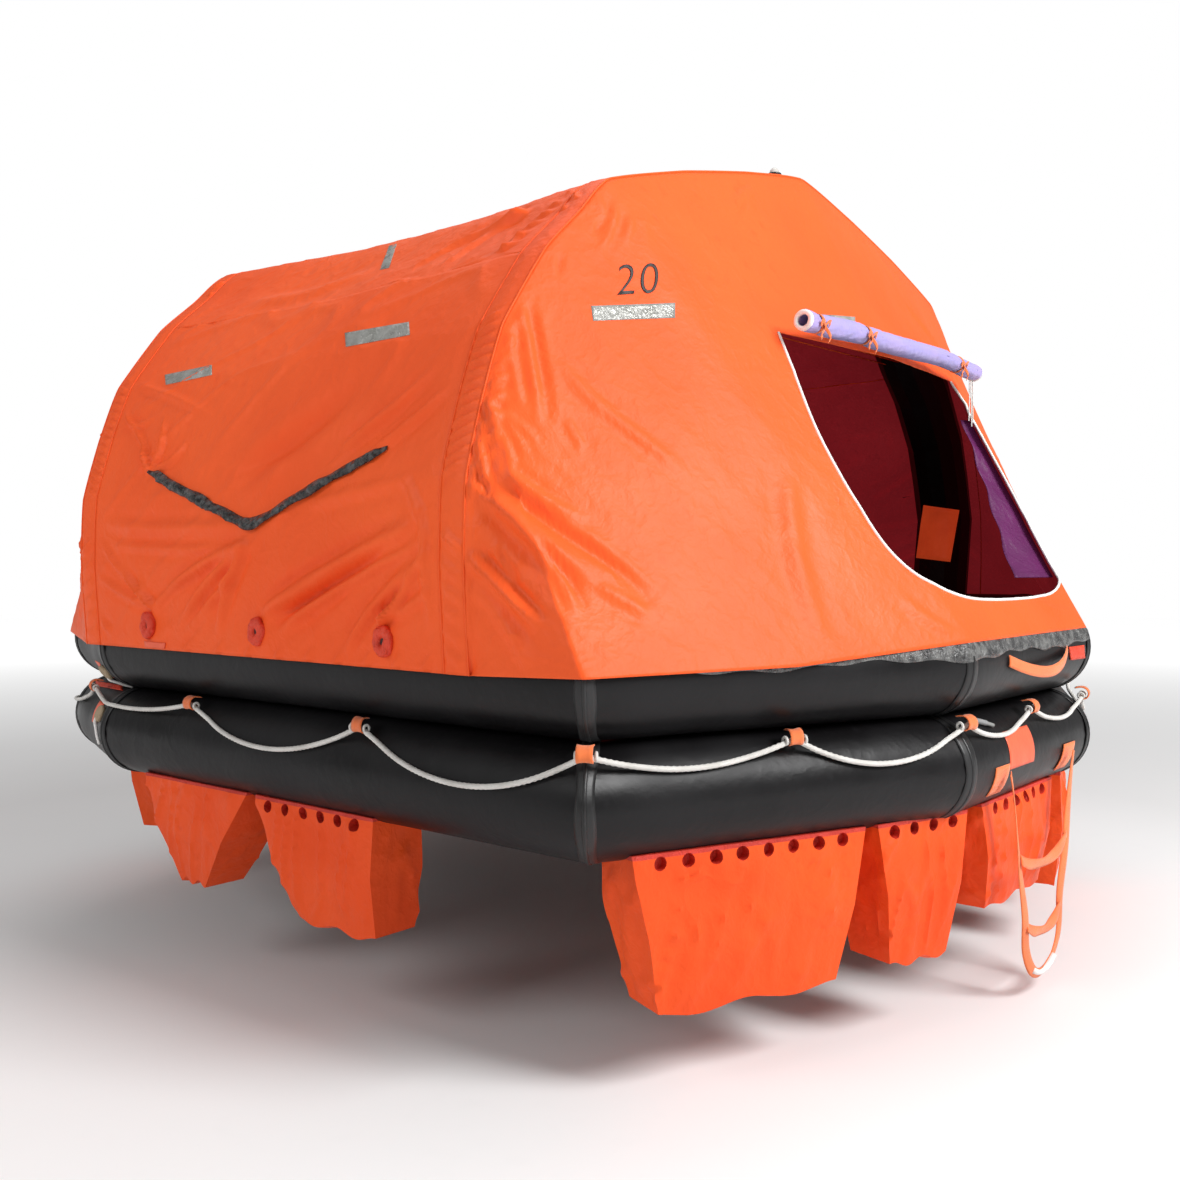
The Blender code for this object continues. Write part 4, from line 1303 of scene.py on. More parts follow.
FLANK_CREASES = (
    *fan((243, 541), ((172, 636), (166, 590), (214, 634)), 0.016, 0.021, 0.04),
    Crease(((233, 572), (202, 608), (176, 642)), 0.013, 0.015),
    Crease(((259, 614), (297, 590), (350, 557), (409, 524)), 0.020, 0.03),
    Crease(((268, 621), (310, 596), (361, 567), (412, 540)), 0.012, -0.015),
    Crease(((276, 634), (292, 618), (335, 588), (381, 559), (419, 541)), 0.015, 0.0195),
    Crease(((262, 610), (300, 580), (340, 560)), 0.010, 0.0105),
    Crease(((343, 655), (361, 622), (386, 592), (422, 557)), 0.016, 0.021),
    Crease(((352, 658), (372, 626), (398, 600), (426, 570)), 0.010, 0.012),
    *fan((378, 622), ((426, 548), (430, 590), (404, 596)), 0.010, 0.0135, 0.03),
    *fan((151, 608), ((100, 541), (118, 560), (190, 570), (136, 575), (96, 575)), 0.011, 0.0135, -0.03),
    Crease(((231, 476), (274, 448), (317, 415), (356, 384)), 0.040, -0.024),
    Crease(((335, 448), (386, 412), (437, 367)), 0.016, 0.015),
    Crease(((368, 452), (412, 419), (450, 387)), 0.013, 0.0135),
    Crease(((106, 525), (157, 528), (233, 525)), 0.018, 0.012),
    Crease(((112, 545), (170, 549), (228, 547)), 0.012, 0.009),
    Crease(((305, 505), (350, 492), (408, 478)), 0.016, 0.009),
    *fan((146, 472), ((139, 446), (128, 420), (163, 412), (184, 440)), 0.010, 0.0135, 0.10),
    Crease(((108, 440), (100, 480), (94, 520)), 0.012, 0.0135),
    Crease(((121, 400), (132, 425), (152, 418)), 0.010, 0.0105),
    Crease(((138, 385), (170, 395), (206, 412)), 0.013, 0.009),
    *fan((90, 610), ((78, 640), (112, 632), (86, 585)), 0.012, 0.0135),
    *pleat_row(
        ((180, 655), (262, 664), (322, 668), (420, 674)),
        ((191, 640), (272, 648), (334, 649), (432, 655)),
        9, 0.008, 0.0084,
    ),
    Crease(((398, 470), (420, 520), (424, 580), (436, 640)), 0.016, 0.012),
)
ROOF_CREASES = (
    *fan((526, 209), ((405, 264), (437, 262), (470, 236), (487, 222)), 0.016, 0.011, 0.02),
    Crease(((380, 294), (425, 286), (472, 277)), 0.020, 0.010),
    Crease(((384, 278), (422, 274), (460, 271)), 0.012, 0.007),
    Crease(((443, 269), (466, 262), (487, 254)), 0.012, 0.008),
    Crease(((499, 249), (510, 242), (522, 232)), 0.012, 0.011),
    *pleat_row(((497, 249), (540, 214), (566, 192)), ((522, 240), (549, 213), (574, 193)), 6, 0.010, 0.009),
    Crease(((250, 300), (310, 285), (372, 262)), 0.030, 0.010),
    Crease(((200, 340), (262, 318), (330, 308)), 0.026, 0.008),
)
SLEEVE_CREASES = (
    *pleat_row(
        ((433, 481), (444, 418), (455, 372), (472, 328)),
        ((475, 452), (484, 405), (490, 368), (503, 312)),
        14, 0.0085, 0.0075,
    ),
    *pleat_row(
        ((500, 262), (520, 240), (548, 212), (573, 188)),
        ((514, 272), (530, 244), (556, 218), (577, 200)),
        7, 0.009, 0.009,
    ),
    Crease(((430, 512), (440, 530), (462, 552)), 0.012, 0.012),
    *pleat_row(((438, 560), (440, 600), (444, 650)), ((462, 580), (466, 618), (470, 668)), 5, 0.010, 0.006),
)
FRONT_CREASES = (
    *pleat_row(
        ((460, 500), (466, 440), (478, 388), (496, 338)),
        ((488, 470), (501, 410), (511, 360), (525, 314)),
        9, 0.0130, 0.0100,
    ),
    Crease(((448, 528), (462, 548), (498, 588), (540, 628)), 0.020, 0.020),
    Crease(((462, 537), (500, 575), (545, 618)), 0.013, -0.014),
    Crease(((462, 570), (500, 618), (530, 668)), 0.020, 0.012),
    Crease(((456, 478), (500, 505), (555, 548), (600, 582)), 0.020, 0.020),
    Crease(((507, 488), (557, 523), (615, 564), (655, 602)), 0.016, -0.016),
    Crease(((505, 470), (545, 496), (590, 520)), 0.014, 0.010),
    Crease(((490, 500), (536, 545), (566, 582), (580, 616)), 0.018, 0.016),
    Crease(((521, 514), (551, 554), (574, 584), (588, 616)), 0.012, -0.012),
    Crease(((598, 582), (626, 600), (655, 618)), 0.016, 0.009),
    Crease(((475, 472), (486, 491), (497, 499)), 0.008, -0.009),
    Crease(((495, 550), (506, 565), (517, 580)), 0.010, -0.012),
    Crease(((529, 300), (539, 347), (548, 388), (551, 420)), 0.014, -0.008),
    Crease(((521, 300), (529, 350), (536, 392), (540, 424)), 0.014, 0.006),
    Crease(((512, 330), (514, 372), (524, 408)), 0.012, 0.004),
    *fan((487, 404), ((514, 468), (530, 456), (498, 450), (540, 440)), 0.011, 0.006, -0.04),
    Crease(((478, 440), (484, 470), (492, 488)), 0.009, 0.009),
    Crease(((557, 359), (598, 400), (645, 436), (692, 471)), 0.018, 0.010),
    Crease(((568, 418), (577, 432), (587, 448)), 0.012, 0.008),
    Crease(((739, 367), (744, 378), (751, 390)), 0.010, 0.008),
    *fan(
        (594, 180),
        ((594, 210), (585, 210), (571, 210), (563, 224), (552, 224), (540, 238), (604, 214)),
        0.010, 0.012, 0.03,
    ),
    Crease(((617, 206), (611, 228), (600, 252)), 0.010, 0.009),
    Crease(((644, 210), (645, 222), (648, 236)), 0.010, 0.008),
    Crease(((633, 216), (630, 230), (626, 243)), 0.010, 0.008),
    Crease(((560, 256), (560, 266), (562, 276)), 0.008, -0.008),
    Crease(((602, 222), (598, 227), (594, 233)), 0.008, -0.009),
    Crease(((690, 186), (694, 204), (692, 224)), 0.012, 0.006),
    Crease(((950, 366), (966, 400), (988, 430)), 0.014, 0.009),
    Crease(((905, 300), (940, 345), (968, 390)), 0.018, 0.008),
    Crease(((1000, 470), (1030, 520), (1070, 560)), 0.016, 0.010),
    Crease(((790, 470), (800, 560), (824, 640)), 0.030, 0.010),
    Crease(((900, 596), (930, 620), (966, 640)), 0.016, 0.008),
    Crease(((1040, 602), (1062, 612), (1098, 606)), 0.014, 0.009),
    *fan((748, 186), ((730, 212), (744, 222), (764, 218)), 0.012, 0.008),
)


def ridge_height(points: np.ndarray, creases: Iterable[Fold]) -> np.ndarray:
    """How far folds lift each point.

    Args:
        points: Rows of X, Y, Z.
        creases: The rows of points along each fold, its half width and its height.

    Returns:
        One value for each point.
    """
    total = np.zeros(len(points))
    for line, width, height in creases:
        nearest = np.full(len(points), np.inf)
        place = np.zeros(len(points))
        steps = len(line) - 1
        for index in range(steps):
            along = line[index + 1] - line[index]
            share = np.clip((points - line[index]) @ along / max(along @ along, 1e-9), 0, 1)
            gap = np.linalg.norm(points - line[index] - share[:, None] * along, axis=1)
            nearer = gap < nearest
            nearest[nearer] = gap[nearer]
            place[nearer] = (index + share[nearer]) / steps
        fade = np.clip(np.minimum(place * 6, (1 - place) * 3), 0, 1)
        hollow = 0.35 * np.exp(-(((nearest - 2.1 * width) / width) ** 2))
        total += height * fade**0.7 * (np.exp(-((nearest / width) ** 2)) - hollow)
    return total


def prism(name: str, outline: Sequence[Sequence[float]], low: float, high: float) -> bpy.types.Object:
    """A cutter with an outline in Y and Z, drawn out along X.

    Args:
        name: The cutter's name.
        outline: Its corners in order.
        low: Where it begins along X.
        high: Where it ends along X.

    Returns:
        The cutter, closed.
    """
    select_only()
    bpy.ops.mesh.primitive_circle_add(vertices=len(outline), fill_type="NGON")
    piece = bpy.context.object
    piece.name = piece.data.name = name
    set_points(piece, np.array([(low, y, z) for y, z in outline]))
    in_edit_mode(
        piece,
        lambda: bpy.ops.mesh.extrude_region_move(TRANSFORM_OT_translate={"value": (high - low, 0.0, 0.0)}),
        lambda: bpy.ops.mesh.select_all(action="SELECT"),
        lambda: bpy.ops.mesh.normals_make_consistent(inside=False),
    )
    return piece


def carve(piece: bpy.types.Object, cutter: bpy.types.Object, operation: str = "DIFFERENCE") -> None:
    """Cut a closed piece with a closed cutter, and leave the cutter as it is."""
    cut = piece.modifiers.new("cut", "BOOLEAN")
    cut.operation = operation
    cut.solver = "EXACT"
    cut.object = cutter
    apply_modifiers(piece)


def drop(*pieces: bpy.types.Object) -> None:
    """Remove helpers from the scene."""
    for piece in pieces:
        bpy.data.objects.remove(piece, do_unlink=True)


@dataclass
class Canopy:
    """The coated cloth over both arches, with the entrance at each end."""

    plan: HullPlan
    palette: Palette
    view: PhotoView
    edges: Pair = (1.0603, -0.9703)
    band_width: float = 0.095
    wall: float = 0.0015
    slack: float = 1.02
    drop_slack: float = 1.10
    leaf_flat: Pair = (1.62, 1.00)
    clear_of_end: float = 2.7
    profile: tuple[Pair, ...] = (
        (1.791, 0.445),
        (1.810, 0.740),
        (1.800, 0.985),
        (1.735, 1.210),
        (1.655, 1.418),
        (1.475, 1.664),
        (1.325, 1.800),
        (1.185, 1.930),
        (0.790, 2.050),
        (0.390, 2.145),
        (0.000, 2.215),
    )
    front_edge: tuple[tuple[float, float, float], ...] = (
        (1.707, 0.182, 0.460),
        (1.114, 0.180, 0.465),
        (0.520, 0.150, 0.510),
        (0.000, 0.150, 0.510),
    )
    rear_edge: tuple[tuple[float, float, float], ...] = (
        (4.536, 0.182, 0.460),
        (4.989, 0.178, 0.470),
        (5.441, 0.150, 0.510),
        (6.011, 0.150, 0.510),
    )
    front_rows: tuple[float, ...] = (0.0, 3.0, 5.0, 8.0, 10.0)
    rear_rows: tuple[float, ...] = (0.0, 4.0, 6.0, 8.0, 10.0)
    door: tuple[Pair, ...] = (
        (0.690, 1.495),
        (0.740, 1.150),
        (0.710, 0.870),
        (0.655, 0.745),
        (0.560, 0.680),
        (0.400, 0.642),
        (0.200, 0.630),
        (0.000, 0.628),
    )
    skins: dict[str, Skin] = field(default_factory=dict)
    flats: dict[str, Pair] = field(default_factory=dict)

    def over_arches(self, rows: np.ndarray) -> np.ndarray:
        """The cloth's outline seen along X.

        Args:
            rows: Places along it, 0 at the starboard hem, 10 at the top and 20 at the port hem.

        Returns:
            Rows of Y and Z.
        """
        starboard = [(-y, z) for y, z in self.profile]
        corners = np.array(starboard + list(self.profile[-2::-1]))
        return rows_at(corners, rows) * 0.6 + spline_at(corners, rows) * 0.4

    def shares_of(self, creases: Iterable[Crease], surface: Surface) -> list[Fold]:
        """Folds as shares across and along a panel, found where the view meets it.

        Args:
            creases: Folds by their lines in the view.
            surface: The panel's points for its shares.

        Returns:
            For each fold its rows of shares, its half width and its height.
        """
        count = 90
        u, v = (grid.ravel() for grid in np.meshgrid(np.linspace(0, 1, count), np.linspace(0, 1, count)))
        points = surface(u, v)
        faces = []
        for row in range(count - 1):
            for first in range(row * count, row * count + count - 1):
                faces.append((first, first + 1, first + count + 1, first + count))
        tree = BVHTree.FromPolygons(points.tolist(), faces)
        found = []
        for crease in creases:
            shares = []
            for px, py in smooth_path(crease.line, 9):
                place, _, face, _ = tree.ray_cast(Vector(self.view.place), self.view.ray(px, py))
                if place is not None:
                    first, beside, _, below = faces[face]
                    corner = points[first]
                    sides = np.column_stack([points[beside] - corner, points[below] - corner])
                    step = np.linalg.lstsq(sides, np.array(place) - corner, rcond=None)[0] / (count - 1)
                    shares.append((u[first] + step[0], v[first] + step[1]))
            if len(shares) > 2:
                found.append((np.array(shares), crease.width, crease.height))
        return found

    def folds_on(self, shares: list[Fold], surface: Surface, *turns: tuple[bool, bool]) -> list[Fold]:
        """Folds as points on a panel, also turned over for the panel's other half.

        Args:
            shares: What shares_of found.
            surface: The panel's points for its shares.
            turns: Whether the first and the second share run the other way, once for each copy.

        Returns:
            For each fold its rows of points, its half width and its height.
        """
        laid = []
        for rows, width, height in shares:
            for flip_u, flip_v in turns:
                u = 1 - rows[:, 0] if flip_u else rows[:, 0]
                v = 1 - rows[:, 1] if flip_v else rows[:, 1]
                laid.append((surface(u, v), width, height))
        return laid

    def strip(self, start: float, end: float, rows: Pair) -> Surface:
        """The surface of a panel that runs along X over the arches.

        Args:
            start: Its first edge along X.
            end: Its other edge.
            rows: Where it begins and ends on the outline.

        Returns:
            A function from shares to points.
        """

        def surface(u: np.ndarray, v: np.ndarray) -> np.ndarray:
            """Points of the panel before its folds."""
            outline = self.over_arches(rows[0] + v * (rows[1] - rows[0]))
            return np.column_stack([start + u * (end - start), outline])

        return surface

    def section(
        self, name: str, surface: Surface, cells: tuple[int, int], relief: Relief, creases: list[Fold]
    ) -> bpy.types.Object:
        """A panel that runs along X over the arches.

        Args:
            name: The panel's name.
            surface: Its points before its folds.
            cells: Faces along X and over the arches.
            relief: How far each point stands out.
            creases: The folds that it shows, from folds_on.

        Returns:
            The panel, closed and lined.
        """
        ends = surface(np.array([0.0, 1.0]), np.array([0.5, 0.5]))
        width = float(abs(ends[1][0] - ends[0][0]))
        length = length_of(surface(np.zeros(60), np.linspace(0, 1, 60)))
        self.flats[name] = (round(width * self.slack, 3), round(length * self.slack, 3))

        def whole(u: np.ndarray, v: np.ndarray, points: np.ndarray) -> np.ndarray:
            """The panel's own relief and its folds, which die out at its seams."""
            seam = np.clip(np.minimum(u, 1 - u) * 30, 0, 1)
            return relief(u, v, points) + ridge_height(points, creases) * seam

        return self.dress(curved_grid(name, cells, surface, whole))

    def end_surface(self, end: End) -> Surface:
        """The surface of the panel from an arch down to the tube round one end."""
        if end is End.FRONT:
            arch_x, table, rows = self.edges[0], self.front_edge, self.front_rows
        else:
            arch_x, table, rows = self.edges[1], self.rear_edge, self.rear_rows
        hem = [np.array((arch_x, -self.profile[0][0], self.profile[0][1]))]
        hem += [self.plan.spot(distance, 0.0, reach, height) for distance, reach, height in table]
        hem = np.array(hem)

        def surface(u: np.ndarray, v: np.ndarray) -> np.ndarray:
            """Points of the panel before its folds."""
            share = u if end is End.FRONT else 1 - u
            side = np.where(share <= 0.5, 1.0, -1.0)
            at = 4 * (1 - np.abs(2 * share - 1))
            top = self.over_arches(np.interp(at, range(5), rows))
            foot = rows_at(hem, at)
            head = np.column_stack([np.full(len(at), arch_x), top])
            points = head * v[:, None] + foot * (1 - v[:, None])
            points[:, 1] *= side
            return points

        fall = float(np.linalg.norm(hem[-1] - np.array((arch_x, *self.profile[-1]))))
        around = 2 * length_of(rows_at(hem, np.linspace(0, 4, 60)))
        flat = (round(around * self.slack, 3), round(fall * self.drop_slack, 3))
        self.flats[f"end_cloth_{end.name.lower()}"] = flat
        return surface

    def end_panel(self, end: End, cells: tuple[int, int], creases: list[Fold]) -> bpy.types.Object:
        """The panel from an arch down to the tube round one end.

        Args:
            end: Which end it closes.
            cells: Faces round the end and down the panel.
            creases: The folds that it shows, from folds_on.

        Returns:
            The panel, closed and lined.
        """

        def whole(u: np.ndarray, v: np.ndarray, points: np.ndarray) -> np.ndarray:
            """The panel's own relief and its folds, which die out at its seams."""
            rim = np.clip(np.minimum(v * 20 + 0.2, (1 - v) * 24 + 0.1), 0, 1)
            return self.end_relief(u, v, points) + ridge_height(points, creases) * rim

        return self.dress(curved_grid(f"end_cloth_{end.name.lower()}", cells, self.end_surface(end), whole))

    def dress(self, piece: bpy.types.Object) -> bpy.types.Object:
        """Close a panel: keep its skin for what is laid on it, and line it with the cloth's inside in painted
        shade and painted glow.
        """
        weld_open(piece, 0.0006)
        self.skins[piece.name] = Skin(piece)
        piece.data.materials.append(self.palette.canopy)
        # inner side: the cloth's inside in painted shade with painted glow
        piece.data.materials.append(self.palette.lining)
        thicken(piece, self.wall, -1.0, lined=True)
        return piece

    def sag(self, across: np.ndarray, depth: float) -> np.ndarray:
        """How far the cloth hangs in between two supports."""
        return -depth * (1 - (2 * across - 1) ** 2)

    def roof_relief(self, u: np.ndarray, v: np.ndarray, points: np.ndarray) -> np.ndarray:
        """Broad sag and thin creases of the roof."""
        rim = np.minimum(1, np.minimum(u, 1 - u) * 14)
        broad = crumple(points * (1.0, 0.6, 0.6), 2.2, 3.0, 2) * 0.006
        thin = folds(points, (0.45, 0.5, 0.2), 0.5, 0.045, 5.0) * 0.0030
        return (self.sag(u, 0.026) + broad + thin) * rim

    def flank_relief(self, u: np.ndarray, v: np.ndarray, points: np.ndarray) -> np.ndarray:
        """Broad diagonal swells of a flank with fine creases near the hem."""
        rim = np.minimum(1, np.minimum(u, 1 - u) * 14) * np.minimum(1, v * 10 + 0.25)
        hand = np.sign(points[:, 1])
        sheet = np.column_stack([points[:, 0], points[:, 1] * -hand, points[:, 2]])
        broad = folds(sheet, (0.8, 0.0, 0.62), 1.1, 0.16, 2.0) * 0.007
        fine = folds(sheet, (0.5, 0.0, 0.85), 0.30, 0.035, 6.0) * 0.0028 * (1 - v * 0.5)
        soft = crumple(sheet, 2.0, 4.0, 2) * 0.007
        return (self.sag(u, 0.018) + broad + fine + soft) * rim

    def sleeve_relief(self, u: np.ndarray, v: np.ndarray, points: np.ndarray) -> np.ndarray:
        """The crown over the arch tube and faint puckers at its stitching."""
        crown = (1 - (2 * u - 1) ** 2) * 0.004
        pucker = folds(points, (1.0, 0.2, 0.3), 0.12, 0.022, 11.0) * 0.0022
        return crown + pucker * np.minimum(1, np.minimum(u, 1 - u) * 8 + 0.1)

    def end_relief(self, u: np.ndarray, v: np.ndarray, points: np.ndarray) -> np.ndarray:
        """The slack of an end panel between the arch and the hem."""
        side = np.abs(2 * u - 1)
        hand = np.where(points[:, 1] < 0, 1.0, -1.0)
        sheet = np.column_stack([points[:, 0], points[:, 1] * hand, points[:, 2]])
        rim = np.minimum(1, v * 12 + 0.2) * np.minimum(1, (1 - v) * 9)
        fine = folds(sheet, (0.62, 0.55, -0.55), 0.45, 0.05, 13.0) * 0.0022 * np.clip(side * 2 - 0.6, 0, 1)
        swell = folds(sheet, (0.5, 0.5, -0.7), 1.2, 0.18, 17.0) * 0.0022
        soft = crumple(sheet, 2.1, 7.0, 2) * 0.004
        sag = -0.022 * np.sin(math.pi * np.clip(v, 0, 1)) * (1 - np.abs(2 * side - 1.0) * 0.5)
        return (fine + swell + soft + sag) * rim

    def door_outline(self, shrink: float = 0.0, count: int = 57) -> np.ndarray:
        """The entrance's edge from the starboard top corner round to the port one, as Y and Z."""
        half = [(-(y - shrink), z + shrink) for y, z in self.door]
        half[0] = (half[0][0], half[0][1] - 2 * shrink)
        whole = half + [(-y, z) for y, z in reversed(half[:-1])]
        return smooth_path(whole, count)

    def build_sections(self) -> list[tuple[str, bpy.types.Object]]:
        """Build the roof, the flanks and the sleeves, each with the node that it stands for."""
        front, rear = self.edges
        fore, aft = front - self.band_width, rear + self.band_width
        roof = self.strip(aft, fore, (5.0, 15.0))
        flank = self.strip(aft, fore, (0.0, 5.0))
        port = self.strip(fore, aft, (20.0, 15.0))
        found = self.shares_of(ROOF_CREASES, roof)
        roof_folds = self.folds_on(found, roof, (False, False), (False, True), (True, True))
        found = self.shares_of(FLANK_CREASES, flank)
        made = [("canopy_roof", self.section("roof_cloth", roof, (96, 210), self.roof_relief, roof_folds))]
        for name, surface, turn in (("starboard", flank, (False, False)), ("port", port, (True, False))):
            laid = self.folds_on(found, surface, turn)
            piece = self.section(f"flank_cloth_{name}", surface, (140, 120), self.flank_relief, laid)
            made.append((f"canopy_flank_{name}", piece))
        front_sleeve = self.strip(fore, front, (0.0, 20.0))
        rear_sleeve = self.strip(rear, aft, (0.0, 20.0))
        found = self.shares_of(SLEEVE_CREASES, front_sleeve)
        for name, surface, flip in (("front", front_sleeve, False), ("rear", rear_sleeve, True)):
            laid = self.folds_on(found, surface, (flip, False), (flip, True))
            piece = self.section(f"sleeve_cloth_{name}", surface, (10, 440), self.sleeve_relief, laid)
            made.append((f"arch_sleeve_{name}", piece))
        return made

    def build(self) -> None:
        """Build every panel and the entrances."""
        made = self.build_sections()
        found = self.shares_of(FRONT_CREASES, self.end_surface(End.FRONT))
        for end, cells in ((End.FRONT, (290, 116)), (End.REAR, (230, 92))):
            surface = self.end_surface(end)
            turn = (end is End.REAR, False)
            panel = self.end_panel(end, cells, self.folds_on(found, surface, turn))
            if end is End.REAR:
                made.append(("door_flap_rear", self.cut_leaf(panel)))
            far = end.value * self.clear_of_end
            hole = prism("door_room", self.door_outline(), min(0.0, far), max(0.0, far))
            carve(panel, hole)
            drop(hole)
            made.append((f"canopy_{end.name.lower()}", panel))
        for node, piece in made:
            settle(piece, "orange_cloth")
            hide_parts(node)
            self.declare(piece)

    def cut_leaf(self, panel: bpy.types.Object) -> bpy.types.Object:
        """The rear entrance's leaf, cut out of its panel and a little smaller than the opening."""
        leaf = copied(panel, "entrance_leaf_rear")
        room = prism("leaf_room", self.door_outline(0.004), -self.clear_of_end, 0.0)
        carve(leaf, room, "INTERSECT")
        drop(room)
        return leaf

    def declare(self, piece: bpy.types.Object) -> None:
        """Look up the flat size that a panel was cut to; nothing is done with it."""
        width, length = self.flats.get(piece.name, self.leaf_flat)


@dataclass(frozen=True)
class Pocket:
    """One ballast pocket: its place round the raft and how it hangs."""

    name: str
    start: float
    end: float
    foot_share: float
    shift: float
    depth: float


@dataclass
class BallastPockets:
    """The eleven cloth bags that hang under the lower tube."""

    plan: HullPlan
    palette: Palette
    width: float = 0.20
    top: float = -0.020
    draft: float = 0.05
    hole_radius: float = 0.020
    hole_spacing: float = 0.088
    hole_drop: float = 0.012
    shade_band_depth: float = 0.012
    lid: float = 0.06
    swells: tuple[Pair, ...] = ((0.0, 1.0), (0.5, 1.08), (1.0, 0.80))
    no_holes: str = "flank_aft"
    bags: tuple[Pocket, ...] = (
        Pocket("bow_middle", -0.330, 0.330, 0.75, 0.00, 0.34),
        Pocket("bow_corner", 0.405, 0.815, 0.62, 0.00, 0.42),
        Pocket("bow_quarter", 0.850, 1.640, 0.76, 0.00, 0.43),
        Pocket("flank_fore", 2.480, 3.080, 0.62, -0.10, 0.36),
        Pocket("flank_aft", 3.120, 3.760, 0.22, 0.04, 0.34),
        Pocket("stern_quarter", 4.720, 5.320, 0.70, 0.00, 0.38),
    )

    def axes(self, bag: Pocket) -> tuple[np.ndarray, np.ndarray, np.ndarray, float]:
        """A bag's middle, its direction along the raft, outwards, and its length at the top."""
        ends = self.plan.around(np.array([bag.start, bag.end]), np.zeros(2), 0.0, 0.0)
        along = ends[1] - ends[0]
        length = float(np.linalg.norm(along))
        along /= length
        outward = np.array((along[1], -along[0], 0.0))
        middle = ends.mean(axis=0)
        if outward @ middle < 0:
            outward = -outward
        return middle, along, outward, length

    def down(self, share: np.ndarray) -> np.ndarray:
        """How far down the wall a share of a bag's skin lies, which begins and ends with a lid."""
        return np.clip((share - self.lid) / (1 - 2 * self.lid), 0, 1)

    def rim(self, share: np.ndarray) -> tuple[np.ndarray, np.ndarray]:
        """Places round a unit box, most of them on its long sides."""
        stops = (0.0, 0.38, 0.5, 0.88, 1.0)
        across = np.interp(share, stops, (-1, 1, 1, -1, -1))
        out = np.interp(share, stops, (1, 1, -1, -1, 1))
        return across, out

    def build_bag(self, bag: Pocket) -> bpy.types.Object:
        """Build one bag, closed, with its folds and a row of holes along its outer top edge."""
        middle, along, outward, length = self.axes(bag)
        foot = -bag.depth - self.draft

        def surface(u: np.ndarray, v: np.ndarray) -> np.ndarray:
            """Points of the bag: the lid, the wall and the bottom."""
            down = self.down(v)
            shrink = np.minimum(1, np.minimum(v, 1 - v) / self.lid)
            across, out = self.rim(u)
            half = length / 2 * (1 + (bag.foot_share - 1) * down)
            belly = np.interp(down, *zip(*self.swells)) * self.width / 2
            reach = across * half * shrink + bag.shift * down
            wave = 0.010 * np.sin(across * 6 + middle[0] * 5) * down * shrink
            plan = middle + np.outer(reach, along) + np.outer(out * belly * shrink, outward)
            height = self.top + (foot - self.top) * down + wave
            return np.column_stack([plan[:, :2], height])

        def relief(u: np.ndarray, v: np.ndarray, points: np.ndarray) -> np.ndarray:
            """Hanging folds and soft dents, none at the seam up one edge."""
            wall = np.clip(np.minimum(v - self.lid, 1 - self.lid - v) * 9, 0, 1)
            room = 1 + (bag.foot_share - 1) * self.down(v)
            hang = folds(points, (0.12, 0.05, 1.0), 0.45, 0.075, 3.0 + bag.start) * 0.014 * room
            sway = crumple(points, 4.5, 5.0 + bag.start, 2) * 0.014 * room
            seam = np.minimum(1, np.minimum(u, 1 - u) * 18)
            return (hang + sway) * wall * seam

        piece = curved_grid(f"pocket_{bag.name}", (84, 44), surface, relief)
        weld(piece, 0.0004)
        piece.data.materials.append(self.palette.pocket)
        piece.data.materials.append(self.palette.hole)
        # painted shade under the tube: the top band takes the shaded pocket colour
        for face in piece.data.polygons:
            if self.top - self.shade_band_depth < face.center.z:
                face.material_index = 1
        if bag.name != self.no_holes:
            holes = self.hole_cutters(middle, along, outward, length)
            carve(piece, holes)
            drop(holes)
        select_only(piece)
        bpy.ops.object.shade_smooth_by_angle(angle=math.radians(42))
        return piece

    def hole_cutters(
        self, middle: np.ndarray, along: np.ndarray, outward: np.ndarray, length: float
    ) -> bpy.types.Object:
        """A row of short round cutters across a bag's outer face, just under the tube."""
        count = max(int(length * 0.9 / self.hole_spacing), 2)
        turn = Vector(outward).to_track_quat("Z", "Y").to_euler()
        cutters = []
        for index in range(count):
            at = (index - (count - 1) / 2) * self.hole_spacing
            place = middle + along * at + outward * (self.width / 2)
            select_only()
            bpy.ops.mesh.primitive_cylinder_add(
                vertices=16,
                radius=self.hole_radius,
                depth=0.05,
                location=(place[0], place[1], self.top - self.hole_radius - self.hole_drop),
                rotation=turn,
            )
            cutter = apply_place(bpy.context.object)
            cutter.data.materials.append(self.palette.pocket)
            cutter.data.materials.append(self.palette.hole)
            # painted shade in the holes: their walls take the shaded pocket colour
            for face in cutter.data.polygons:
                face.material_index = 1
            cutters.append(cutter)
        return join("pocket_holes", cutters)

    def build(self) -> None:
        """Build every bag, the starboard ones also mirrored to port."""
        for bag in self.bags:
            piece = self.build_bag(bag)
            made = [piece]
            if bag.start > 0:
                made.append(mirrored(piece, f"pocket_{bag.name}_port"))
                piece.name = piece.data.name = f"pocket_{bag.name}_starboard"
            for bag_piece in made:
                settle(bag_piece, "orange_cloth")
                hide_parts(f"ballast_{bag_piece.name}")


